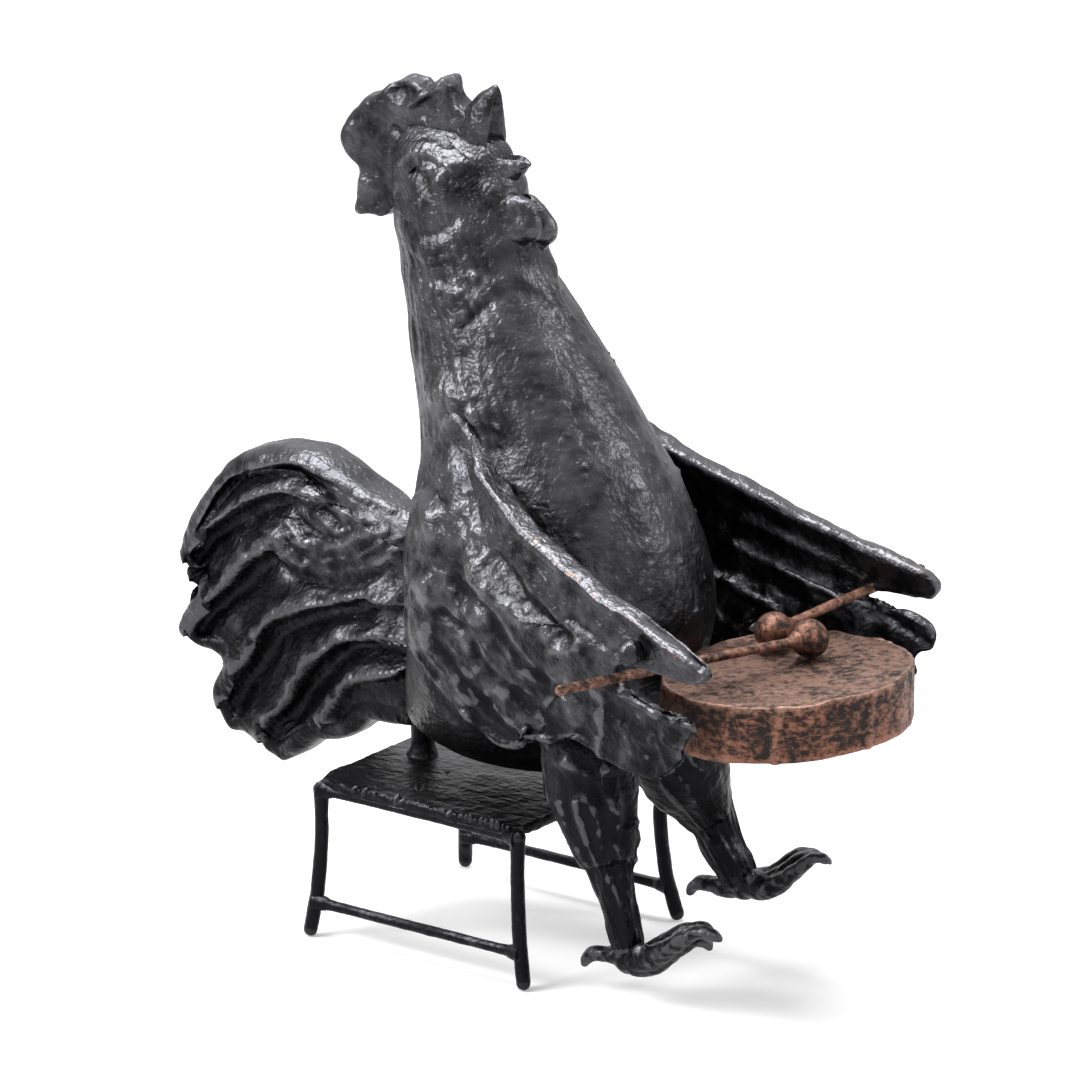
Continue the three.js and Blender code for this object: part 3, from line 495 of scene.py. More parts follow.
def rubbed_copper(finish, name, streak=(1, 1, 1)):
    """Copper wash over bronze, blackened and rubbed back: warm satin metal densely speckled with black,
    where the rag has not reached the cast grain."""
    material, tree, here = new_material(name)
    worn, crest = stored(tree, "worn", "crest")
    drawn = add_node(tree, "ShaderNodeMapping", {"Vector": here, "Scale": streak}).outputs[0]
    # patches about 7 mm across, and black specks that the rag drew out, up to 1.5 mm across
    specks = noise(tree, drawn, 1.5, 6.0, 0.72)
    both = reckon(tree, "MULTIPLY_ADD", noise(tree, here, 7, 3.0, 0.6), 0.42, specks)
    raised = reckon(tree, "MULTIPLY_ADD", crest, 0.1, both)
    clean = reckon(tree, "MULTIPLY_ADD", worn, 0.11, raised)
    bared = spread(tree, clean, 0.66, 0.86)
    colour = blend(tree, bared, finish.soot, blend(tree, worn, finish.copper_dark, finish.copper))
    normal = bump(tree, clean, 0.6, 0.35)
    # cast grain about 0.7 mm across
    normal = bump(tree, noise(tree, here, 0.7, 5.0, 0.65), 0.5, 0.2, normal)
    finish_metal(tree, colour, spread(tree, bared, 0.0, 1.0, 0.62, 0.4), 0.75, normal)
    return material


RECIPES = {
    "blackened_cast_bronze": blackened_bronze,
    "blackened_bronze_rod": lambda finish, name: blackened_bronze(finish, name, 0.6, 0.12),
    "rubbed_copper_drum": lambda finish, name: rubbed_copper(finish, name, (1, 1, 1.6)),
    "rubbed_copper_mallets": rubbed_copper,
}


def metal(name):
    """One of the four metals, mixed from the finish settings when it is first asked for."""
    return bpy.data.materials.get(name) or RECIPES[name](bpy.context.scene.rooster.finish, name)


# The bird's trunk: height, middle along x, half length and half width
TRUNK = np.array([
    [31.8, 4, 8.5, 4.5], [33.7, 4.6, 14.95, 8.6], [37.75, 5.1, 20.6, 14], [43.7, 8.9, 24.2, 18.6],
    [50.5, 12.2, 26.6, 21.4], [61.1, 14.1, 28.2, 23.5], [70.5, 13.6, 27.9, 23.2], [78.55, 13, 25.8, 21.7],
    [87.05, 11.5, 23.1, 19.3], [95.3, 8.25, 20.8, 16.7], [103.6, 4.5, 18.8, 14.9], [111.1, 1, 16.5, 13],
    [116.8, -2.1, 14.8, 11.4], [120.45, -3.6, 13.9, 10.5], [125.6, -5.8, 13, 10], [131, -7.5, 11.7, 8.8],
    [136.2, -8.4, 10.6, 8], [140.1, -9.1, 9.1, 6.3], [142.1, -10, 6.4, 3.6], [142.9, -10.3, 3.6, 1.8],
])
NECK_TOP = 117  # the body ends and the head begins here
NECK_ROW = 12  # and at this row of the table
TUCK, TUCK_LENGTH = 0.8, 4  # how far either slips under the other, and over what length it narrows
CAST_LUMPS = ((0.22, 9, 11), (0.12, 4, 12), (0.05, 1.8, 13))


def trunk_rings(start, end, rows, columns):
    """Rings of the trunk between two places of its table."""
    sections = through(TRUNK, np.linspace(start, end, rows) / (len(TRUNK) - 1))
    turn = around(columns)
    z, x, long, wide = (sections[:, k, None] for k in range(4))
    return np.stack([x + long * np.cos(turn), wide * np.sin(turn), z + 0 * turn], -1)


def trunk_at(z):
    """The trunk's middle along x, half length and half width at heights z."""
    return [np.interp(z, TRUNK[:, 0], TRUNK[:, k]) for k in (1, 2, 3)]


def trunk_gap(points):
    """How far points stand off the trunk, roughly."""
    z = points[..., 2]
    x, long, wide = trunk_at(z)
    share = np.hypot((points[..., 0] - x) / long, points[..., 1] / wide)
    return (share - 1) * np.sqrt(long * wide) + np.maximum(0, z - TRUNK[-1, 0])


def trunk_flank(points):
    """How far the trunk's flank is from the middle plane beside points, and 0 where the trunk isn't."""
    x, long, wide = trunk_at(points[..., 2])
    inside = np.clip(1 - ((points[..., 0] - x) / long) ** 2, 0, 1)
    return wide * np.sqrt(inside) * (points[..., 2] < TRUNK[-1, 0])


def fillet(skin, reach, height):
    """Swells a skin where it meets the trunk, as brazing metal fills the corner."""
    gap = trunk_gap(skin.points)
    skin.push(height * np.clip(1 - np.abs(gap) / reach, 0, 1) ** 3)


# Head: brow, eye socket, cheek folds, jaw, ear, and the mounds that run into comb and wattles
HEAD_STROKES = [
    (1.1, 2.6, 0.6, 0, [(402, 168), (409, 160), (421, 156), (434, 159), (442, 166)]),
    (-1.2, 1.3, 1.5, 0, [(413, 172), (421, 176), (426, 184), (431, 191)]),
    (0.9, 0.6, 0.6, 0, [(424, 172), (432, 172)]),
    (0.9, 1.5, 1.0, 0, [(462, 168), (448, 174), (436, 186), (426, 196)]),
    (0.9, 3.6, 3.2, 0, [(446, 196), (438, 210), (424, 214)]),
    (-0.5, 1.2, 1.8, 0, [(412, 226), (424, 236), (444, 232), (452, 220)]),
    (0.6, 2.4, 2.0, 0, [(428, 248), (442, 248), (456, 236)]),
    (0.35, 1.0, 0.5, 0.2, [(414, 252), (426, 262), (440, 262), (454, 255)]),
    (0.8, 0.75, 0.75, 0.8, [(473, 279)]),
    (-0.8, 0.6, 0.6, 0.9, [(446, 149), (452, 151)]),
    (-0.5, 1.2, 1.2, 0, [(398, 200), (399, 176), (403, 160)]),
    (0.7, 1.3, 1.3, 0, [(449, 128), (459, 134)]),
    (2.0, 3.6, 3.6, 0, [(478, 138), (490, 154), (502, 169), (511, 184)]),
    (0.5, 2.4, 2.4, 0, [(498, 190), (508, 198)]),
    (2.2, 4.6, 4.6, 0, [(500, 202), (505, 222), (512, 242)]),
]
# Collar: the edge of the neck feathers under the head
COLLAR_STROKES = [
    (0.5, 2.4, 1.2, 0.1, [(462, 318), (473, 306), (485, 296), (499, 286), (513, 282), (528, 286),
        (543, 293)]),
    (-0.3, 0.9, 1.4, 0, [(466, 324), (478, 312), (490, 303), (502, 294), (514, 291), (528, 294)]),
    (0.4, 0.8, 0.8, 0, [(543, 293), (553, 305), (562, 322)]),
    (0.5, 1.6, 1.6, 0, [(436, 268), (448, 280), (452, 300)]),
    (0.4, 0.9, 0.9, 0, [(441, 290), (452, 296), (462, 294)]),
]
# Breast: soft folds, and the groove that follows the trailing edge of the wing
BREAST_STROKES = [
    (0.35, 3.2, 3.2, 0, [(626, 452), (640, 482), (650, 512), (656, 545)]),
    (-0.2, 2.2, 2.2, 0, [(612, 470), (624, 500), (634, 535)]),
    (0.2, 2.0, 2.0, 0, [(664, 470), (676, 505), (683, 545)]),
    (-0.8, 3.0, 2.0, 0, [(500, 452), (508, 480), (520, 505), (540, 530)]),
    (1.4, 3.0, 2.6, 0, [(446, 398), (460, 402), (476, 414)]),
    (-0.55, 0.9, 0.9, 0, [(407, 612), (408, 642), (424, 671), (445, 700), (464, 723), (486, 743),
        (508, 752), (528, 750)]),
]


def feather_grooves(turn, height, radius, size, seed):
    """Wavy grooves that run up a post of the given radius, from 1 on their crests to below 0."""
    drawn = np.stack([np.cos(turn) * radius, np.sin(turn) * radius, height / radius], -1)
    return 1 - 2.4 * np.abs(rumple(drawn, size, seed))


def groove_hackles(skin):
    """Wavy upright grooves of the neck feathers, deeper round the back, which fade out on the shoulders."""
    height = skin.points[..., 2]
    turn = np.arctan2(skin.points[..., 1], skin.points[..., 0] - trunk_at(height)[0])
    grooves = 0.34 * feather_grooves(turn, height, 9, 1.5, 4)
    grooves = grooves + 0.14 * feather_grooves(turn, height, 9, 0.75, 5)
    fade = smoothstep(76, 96, height) * (0.2 + 0.8 * smoothstep(-0.9, 0.5, -np.cos(turn)))
    fade *= 1 - 0.6 * smoothstep(117, 126, height)
    skin.push(fade * grooves * (1 + 0.5 * rumple(skin.points, 6, 6)))


def scatter_nuggets(skin, count, low, high, seed):
    """Small beads of metal from bubbles in the mould, between two heights."""
    chance = np.random.default_rng(seed)
    ready = np.argwhere((skin.points[..., 2] > low) & (skin.points[..., 2] < high))
    height = np.zeros(skin.worn.shape)
    for row, column in ready[chance.choice(len(ready), count, replace=False)]:
        rows = slice(max(0, row - 8), row + 9)
        near = skin.points[rows] - skin.points[row, column]
        size = chance.uniform(0.22, 0.5)
        height[rows] = np.maximum(height[rows], size * 0.8 * np.exp(-np.sum(near**2, -1) / size**2))
    skin.push(height)


def tuck(past):
    """How far a skin is drawn in, past millimetres beyond the joint at the throat."""
    return -TUCK * np.clip(past / TUCK_LENGTH, 0, 1) ** 2


def make_body():
    skin = Skin(trunk_rings(0, NECK_ROW + 1.2, 320, 288))
    skin.lumps(*CAST_LUMPS)
    groove_hackles(skin)
    skin.carve(BREAST_STROKES + COLLAR_STROKES)
    wrinkles = rumple(skin.points * np.array([0.35, 0.35, 1.6]), 1.5, 14)
    front = smoothstep(-0.2, 0.8, skin.normals()[..., 0]) * smoothstep(74, 90, skin.points[..., 2])
    skin.push(0.07 * wrinkles * front)
    scatter_nuggets(skin, 110, 60, 108, 3)
    skin.push(tuck(skin.points[..., 2] - NECK_TOP))
    return skin


def make_head():
    skin = Skin(trunk_rings(NECK_ROW - 0.9, len(TRUNK) - 1, 250, 260))
    sunk = tuck(NECK_TOP - skin.points[..., 2])
    skin.lumps(*CAST_LUMPS)
    groove_hackles(skin)
    skin.carve(HEAD_STROKES + COLLAR_STROKES, fade=0.8)
    skin.push(sunk)
    return skin


CHEEK, CHEEK_REACH = (482, 186), (24, 44)  # in the picture plane: its middle, and across and down


def add_stipple(piece):
    """Marks the cheek on both sides, between eye and beak, where the face is closely stippled."""
    points = vectors_of(piece.data.vertices, "co") / MM - BENCH_MIDDLE
    points[:, 1] = -np.abs(points[:, 1])
    off = (picture(points) - CHEEK) / CHEEK_REACH
    store(piece.data, "stipple", np.exp(-np.sum(off**2, -1) ** 1.5))


# Comb: its outline in the picture plane, from above the beak over the crown to the nape and back
COMB_OUTLINE = [
    (474, 113), (463, 101), (457, 87), (449, 82), (440, 84), (431, 88), (423, 82), (411, 79), (399, 82),
    (386, 93), (371, 101), (358, 114), (350, 131), (355, 147), (367, 167), (366, 186), (363, 203),
    (367, 211), (377, 213), (395, 216), (412, 190), (440, 158), (478, 142), (482, 126),
]
COMB_MIDDLE = (412, 136)
COMB_HALF, COMB_ROUNDING = 3.0, 1.2  # half its thickness, and the radius of its edge
COMB_BLEND = 2.6  # over this much it runs into the skull
COMB_STROKES = [
    (-1.1, 1.6, 1.6, 0, [(402, 92), (407, 97)]),
    (-0.7, 1.4, 1.4, 0, [(432, 92), (430, 104), (426, 116)]),
    (0.8, 0.9, 0.7, 0.3, [(412, 106), (426, 99), (437, 92), (444, 87)]),
    (0.5, 1.2, 1.2, 0, [(372, 108), (392, 106), (410, 110)]),
    (-0.6, 2.4, 2.4, 0, [(378, 128), (384, 150)]),
    (-0.7, 0.7, 0.7, 0, [(393, 132), (399, 137)]),
    (-0.6, 2.0, 2.0, 0, [(450, 98), (460, 112)]),
    (-0.7, 2.0, 2.0, 0, [(378, 172), (376, 196)]),
    (0.4, 0.8, 0.8, 0, [(352, 128), (364, 124), (376, 116)]),
]


def edge_fall(away, rounding):
    """How far a face drops near its edge, away millimetres off, where the edge is rounded."""
    return rounding - np.sqrt(np.maximum(0, rounding**2 - (rounding - np.minimum(away, rounding)) ** 2))


def faces_apart(surface, half):
    """The two faces of an upright plate, half millimetres to the right and left of its middle surface."""
    apart = np.stack([0 * half, half, 0 * half], -1)
    return surface - apart, surface + apart


def make_comb():
    outline = evenly(np.array(COMB_OUTLINE + COMB_OUTLINE[:1], float), np.linspace(0, 1, 281)[:-1])
    outline = spot(outline[:, 0], outline[:, 1], np.zeros(len(outline)))
    middle = spots([(*COMB_MIDDLE, 0)])
    grow = 1 - (1 - np.linspace(0.04, 1, 90)) ** 1.7
    flat = middle + (outline - middle) * grow[:, None, None]
    half = COMB_HALF - edge_fall(distance_to(outline, flat), COMB_ROUNDING)
    near, far = faces_apart(flat, half)
    rim = [outline + [0, y, 0] for y in np.linspace(-half[-1, 0], half[-1, 0], 14)[1:-1]]
    skin = Skin(np.concatenate([near, rim, far[::-1]]))
    skin.lumps((0.7, 5, 21), (0.25, 2.6, 22), (0.1, 1.2, 23))
    skin.carve(COMB_STROKES)
    # where the skull is wider than the comb, the comb's sides follow it and sink 0.8 mm below its skin
    side = np.abs(skin.points[..., 1])
    flank = trunk_flank(skin.points)
    soft = 0.5 * (side + flank + np.sqrt((side - flank) ** 2 + COMB_BLEND**2))
    blended = soft - 0.8 * smoothstep(0, 5, flank - side)
    wanted = np.where(flank > 0.5, np.maximum(blended, 0.05), side)
    skin.points[..., 1] = np.sign(skin.points[..., 1]) * wanted
    return skin


def trough(path, sizes, opening, open_side, rows=90, columns=96):
    """Half of a beak: a tapering spike with a trough along the side that faces open_side. sizes holds half
    its width and half its depth at each point of its path, and opening how deep the trough is in the middle
    and how fast it rises to the sides."""
    places = np.linspace(0, 1, rows)
    middle = through(path, places)
    half_wide, half_deep = through(sizes, places).T[..., None]
    along = unit(np.gradient(middle, axis=0))
    front = unit(open_side - np.sum(along * open_side, -1, keepdims=True) * along)
    side = np.cross(along, front)
    turn = around(columns)
    forward = np.minimum(np.cos(turn), opening[0] + opening[1] * np.abs(np.sin(turn)) ** 1.5)
    deep = front[:, None] * (half_deep * forward)[..., None]
    return Skin(middle[:, None] + deep + side[:, None] * (half_wide * np.sin(turn))[..., None])


def make_upper_beak():
    path = [(-3.4, 0, 139.5), (-2.4, 0, 143.6), (-1.2, 0, 147.6), (0, 0, 150.4), (0.7, 0, 151.9)]
    sizes = [(3.9, 6.2), (3.3, 4.7), (2.5, 3.1), (1.5, 1.5), (0.3, 0.4)]
    skin = trough(path, sizes, (0.2, 0.75), np.array([1.0, 0, 0.1]))
    skin.lumps((0.2, 2.5, 31), (0.08, 1.1, 32))
    fillet(skin, 3.2, 1.6)
    return skin


def make_lower_beak():
    path = [(-2.0, 0, 135.8), (1.5, 0, 137.2), (4.4, 0, 138.4), (6.4, 0, 139.1), (7.7, 0, 139.3)]
    sizes = [(3.4, 4.6), (2.9, 3.6), (2.2, 2.4), (1.4, 1.3), (0.5, 0.5)]
    skin = trough(path, sizes, (0.25, 0.7), np.array([0, 0, 1.0]))
    skin.lumps((0.2, 2.5, 33), (0.1, 1.1, 34))
    fillet(skin, 3.4, 2.0)
    skin.worn = smoothstep(6.6, 7.8, skin.points[..., 0])  # its tip is rubbed bare
    return skin


def blob(middle, sizes, rows=60, columns=72, drop=0.0):
    """A rounded lump. drop makes it heavier below."""
    up = np.linspace(0.02, np.pi - 0.02, rows)[:, None]
    turn = around(columns)
    wide = np.sin(up) * (1 + drop * np.cos(up))
    ball = np.stack([wide * np.cos(turn), wide * np.sin(turn), -np.cos(up) + 0 * turn], -1)
    return Skin(np.array(middle) + ball * np.array(sizes))


WATTLE = (520, 224)  # between the two, in the picture plane
WATTLE_SIZE = (5.9, 2.6, 4.6)  # half its length, width and height
WATTLE_STROKES = [
    (0.5, 1.2, 0.9, 0, [(510, 208), (524, 208), (536, 212)]),
    (0.3, 0.5, 0.5, 1.0, [(537, 208)]),
]


def make_wattle(side):
    """One of the pair of heavy drops, run into the throat."""
    middle = spot(WATTLE[0] + side * 8, WATTLE[1] + side * 2, side * 2.1)
    skin = blob(middle, WATTLE_SIZE, drop=0.1)
    skin.lumps((0.35, 3.2, 41), (0.12, 1.3, 42))
    skin.carve(WATTLE_STROKES)
    fillet(skin, 4, 1.2)
    return skin


# Plates: the tail and the wings
def patch(first, last, root, tip, along, over):
    """The surface between four edges: first and last run from root to tip, root and tip from first to
    last."""
    a = along[:, None, None]
    o = over[None, :, None]
    first, last = evenly(first, along)[:, None], evenly(last, along)[:, None]
    root, tip = evenly(root, over)[None], evenly(tip, over)[None]
    at_root = (1 - o) * root[:, :1] + o * root[:, -1:]
    at_tip = (1 - o) * tip[:, :1] + o * tip[:, -1:]
    corners = (1 - a) * at_root + a * at_tip
    return (1 - o) * first + o * last + (1 - a) * root + a * tip - corners


def distance_to(outline, surface):
    """How far each point of a surface is from its outline."""
    flat = surface.reshape(-1, 3)
    best = np.full(len(flat), np.inf)
    for start, end in zip(outline, np.roll(outline, -1, 0)):
        step = end - start
        along = np.clip((flat - start) @ step / max(step @ step, TINY), 0, 1)
        best = np.minimum(best, np.linalg.norm(flat - start - along[:, None] * step, axis=1))
    return best.reshape(surface.shape[:-1])


def surface_normals(surface, towards):
    """Normals of a surface, on the side that faces towards."""
    made = unit(np.cross(np.gradient(surface, axis=0), np.gradient(surface, axis=1)))
    return made * np.sign(np.sum(made.mean((0, 1)) * towards))


def outline_of(first, last, root, tip, count=90):
    """The four edges of a patch as one loop."""
    places = np.linspace(0, 1, count)
    first, last, root, tip = (evenly(edge, places) for edge in (first, last, root, tip))
    return np.concatenate([first, tip, last[::-1], root[::-1]])


def both_faces(near, far):
    """Values over the near face of a plate and its far face, for a skin that goes round both."""
    return np.concatenate([near, far[:, ::-1]], 1)


# Tail: its edges as (across, down, y)
TAIL_TOP = [
    (470, 556, 0), (440, 530, 0), (411, 507, 1.5), (377, 482, 2), (354, 464, 2), (331, 447, 2),
    (308, 441, 1.5), (273, 442, 1), (239, 454, 0), (216, 480, 0), (197, 507, 0), (187, 530, 0),
    (182, 548, 0),
]
TAIL_TIPS = [
    (182, 548, 0), (184, 560, 0), (195, 576, 0), (198, 590, 0), (188, 604, 0), (180, 622, 0), (184, 634, 0),
    (197, 645, 0), (215, 652, 0), (224, 663, 0), (216, 680, 0), (215, 698, 0), (222, 716, 0), (231, 730, 0),
    (247, 733, 0), (262, 741, 0), (270, 752, 0), (287, 762, 0),
]
TAIL_BOTTOM = [
    (460, 712, 0), (430, 722, 0), (406, 722, 0), (383, 718, 0), (367, 730, 0), (349, 738, 0), (326, 741, 0),
    (305, 753, 0), (287, 762, 0),
]
TAIL_ROOT = [(470, 556, 0), (474, 630, 0), (460, 712, 0)]
# The crests of the plumes from tip to root, and last a low ridge on the bottom plume
PLUME_CRESTS = [
    (3.0, 2.8, 0.7, 0.25, [(187, 540), (199, 515), (215, 490), (232, 472), (259, 462), (286, 459),
        (304, 462), (326, 475), (349, 487), (366, 499), (409, 515)]),
    (3.1, 3.0, 0.7, 0.75, [(184, 556), (192, 540), (210, 526), (228, 512), (248, 499), (264, 492),
        (282, 487), (297, 489), (318, 496)]),
    (3.2, 3.2, 0.7, 0.65, [(186, 628), (192, 617), (199, 609), (215, 595), (237, 573), (255, 555),
        (268, 548)]),
    (3.2, 3.2, 0.7, 0.7, [(221, 698), (230, 682), (244, 666), (255, 652), (259, 644), (265, 631),
        (278, 617), (295, 610), (315, 605), (346, 600), (372, 596), (392, 600)]),
    (3.2, 3.2, 0.7, 0.7, [(262, 738), (272, 722), (285, 707), (296, 690), (305, 672), (316, 659),
        (331, 649), (347, 640), (364, 637), (384, 637), (410, 643)]),
    (3.0, 2.7, 0.8, 0.5, [(330, 716), (338, 702), (349, 687), (363, 678), (385, 675), (406, 669)]),
    (1.6, 2.2, 1.6, 0, [(290, 752), (300, 735), (312, 722)]),
]
# The valleys between the plumes, the folds at the root and the scored feathers over them
TAIL_STROKES = [
    (-1.3, 1.2, 1.9, 0, [(170, 566), (196, 553), (214, 536), (236, 522), (262, 508), (290, 502),
        (314, 506)]),
    (-1.1, 1.0, 1.7, 0, [(186, 646), (204, 622), (222, 604), (240, 588), (262, 570), (272, 560)]),
    (-1.2, 1.0, 1.9, 0, [(232, 704), (250, 678), (268, 650), (286, 632), (308, 620), (336, 612),
        (366, 606)]),
    (-1.2, 1.0, 1.9, 0, [(288, 722), (302, 700), (318, 678), (336, 660), (356, 650), (384, 648),
        (406, 654)]),
    (-0.9, 1.0, 1.6, 0, [(196, 530), (214, 500), (240, 478), (272, 470), (300, 474), (330, 492)]),
    (1.7, 3.4, 2.6, 0, [(280, 540), (300, 548), (324, 548), (352, 540), (380, 528)]),
    (1.2, 3.0, 1.6, 0, [(292, 556), (314, 566), (340, 572), (366, 566), (392, 556)]),
    (-0.9, 0.8, 1.0, 0, [(266, 546), (284, 568), (306, 580), (338, 586), (364, 582), (392, 570)]),
    (0.7, 0.45, 0.45, 0.6, [(366, 553), (384, 544), (399, 538)]),
    (0.6, 0.6, 0.6, 0.2, [(369, 585), (395, 571)]),
    (0.55, 0.5, 0.5, 0.4, [(288, 520), (300, 532), (312, 540)]),
    (0.5, 0.5, 0.5, 0.1, [(290, 532), (302, 540), (312, 545)]),
    (-0.6, 0.5, 0.5, 0, [(296, 516), (308, 528), (324, 536)]),
    (0.5, 0.6, 0.6, 0.1, [(312, 514), (328, 524), (342, 530)]),
    (-0.5, 0.5, 0.5, 0, [(322, 508), (338, 520), (352, 524)]),
    (0.5, 0.6, 0.6, 0.1, [(334, 506), (350, 514), (364, 518)]),
    (-0.5, 0.5, 0.6, 0, [(344, 536), (362, 526), (380, 524)]),
    (0.5, 0.7, 0.7, 0, [(330, 560), (348, 556)]),
    (0.4, 0.5, 0.5, 0, [(284, 556), (300, 548)]),
    (0.5, 0.6, 0.6, 0, [(302, 572), (312, 562)]),
]


def barbs(line, count, length, lean):
    """Short ticks that cross a crest and lie down its lower side, like the barbs of a plume. They are about
    length points long and lean back by an angle."""
    places = np.linspace(0.04, 0.96, count)
    starts = evenly(np.array(line, float), places)
    steps = evenly(np.array(line, float), np.minimum(1, places + 0.01)) - starts
    strokes = []
    for i, (start, step) in enumerate(zip(starts, steps)):
        along = step / max(np.linalg.norm(step), TINY)
        down = np.array([-along[1], along[0]])
        uneven = 0.7 + 0.6 * ((i * 7) % 5) / 5
        end = start + (down * math.cos(lean) - along * math.sin(lean)) * length * uneven
        strokes.append((0.22, 0.3, 0.3, 0, [tuple(start - down * 2), tuple(end)]))
    return strokes


def make_tail():
    edges = [spots(rows) * [1, 0, 1] for rows in (TAIL_TOP, TAIL_BOTTOM, TAIL_ROOT, TAIL_TIPS)]
    surface = patch(*edges, closer_at_tip(190), closer_at_ends(230))
    away = distance_to(outline_of(*edges), surface)
    # it grows from 3.4 mm of half thickness at the tips to 8 mm at the rump
    back = smoothstep(-66, -12, surface[..., 0])
    thick = 3.4 + 4.6 * back
    half = np.maximum(0.02, thick - edge_fall(away, np.minimum(thick, 3.2 + 3.0 * back)))
    skin = Skin(both_faces(*faces_apart(surface, half)), flat_ends=True)
    inward = smoothstep(0.3, 3.2, both_faces(away, away))
    skin.push(-2.2 * inward)
    skin.carve(PLUME_CRESTS, highest=True, fade=0.25 + 0.75 * inward)
    skin.carve(TAIL_STROKES, fade=inward)
    ticks = []
    for *_, line in PLUME_CRESTS[:6]:
        ticks += barbs(line, 2 * len(line) + 4, 9, 0.5)
    skin.carve(ticks, fade=inward)
    skin.lumps((0.2, 4.5, 51), (0.1, 1.8, 52))
    return skin


# Wings: the edges of the face that is seen, as (across, down, y)
RIGHT_LEAD = [
    (452, 411, -15.9), (463, 426, -16.8), (471, 443, -18.2), (480, 474, -20.6), (500, 503, -23),
    (516, 526, -24.9), (537, 547, -26.7), (568, 573, -28.7), (599, 600, -30.3), (625, 615, -31.4),
    (651, 636, -32.3), (672, 652, -32.9), (688, 665, -33.3), (695, 670, -33.5),
]
RIGHT_TIPS = [
    (695, 670, -33.5), (699, 675, -33.4), (690, 681, -33.2), (673, 679, -32.9), (648, 671, -32.3),
    (624, 665, -31.6), (614, 672, -31.2), (620, 688, -31), (636, 698, -31.3), (655, 707, -31.4),
    (673, 716, -31.4), (690, 721, -31.2), (684, 733, -30.9), (676, 744, -30.6), (677, 756, -30.2),
    (670, 767, -29.8), (657, 775, -29.4),
]
RIGHT_TRAIL = [
    (446, 418, -15.7), (436, 448, -16.4), (425, 483, -16.7), (416, 518, -16.9), (412, 550, -17.5),
    (411, 585, -18.2), (411, 612, -18.3), (413, 639, -18.6), (429, 665, -20.6), (450, 694, -21.8),
    (468, 717, -22.3), (489, 736, -22.4), (508, 745, -22.6), (523, 744, -23.2), (531, 736, -23.6),
    (543, 740, -24.2), (557, 741, -24.8), (569, 736, -25.3), (580, 743, -25.9), (594, 751, -26.6),
    (620, 766, -28), (643, 775, -29), (657, 775, -29.4),
]
RIGHT_ROOT = [(452, 411, -15.9), (449, 414, -15.8), (446, 418, -15.7)]
LEFT_LEAD = [
    (566, 372, 13.5), (600, 398, 16), (640, 425, 19), (668, 443, 20.5), (696, 458, 22), (722, 472, 23.3),
    (755, 488, 25), (793, 510, 26.7), (826, 526, 28), (861, 543, 29.2), (892, 557, 30), (920, 567, 30.7),
    (934, 574, 31),
]
LEFT_TIPS = [
    (934, 574, 31), (940, 581, 31.1), (941, 590, 31.1), (935, 597, 31), (926, 596, 30.8), (905, 591, 30.3),
    (888, 588, 29.9), (876, 588, 29.6), (871, 595, 29.3), (880, 600, 29.4), (900, 607, 29.6),
    (915, 613, 29.7), (932, 625, 29.8), (938, 634, 29.7), (936, 647, 29.4), (925, 651, 29.2),
    (918, 658, 29), (921, 668, 28.8), (915, 678, 28.5), (900, 692, 28.2), (872, 694, 27.8),
]
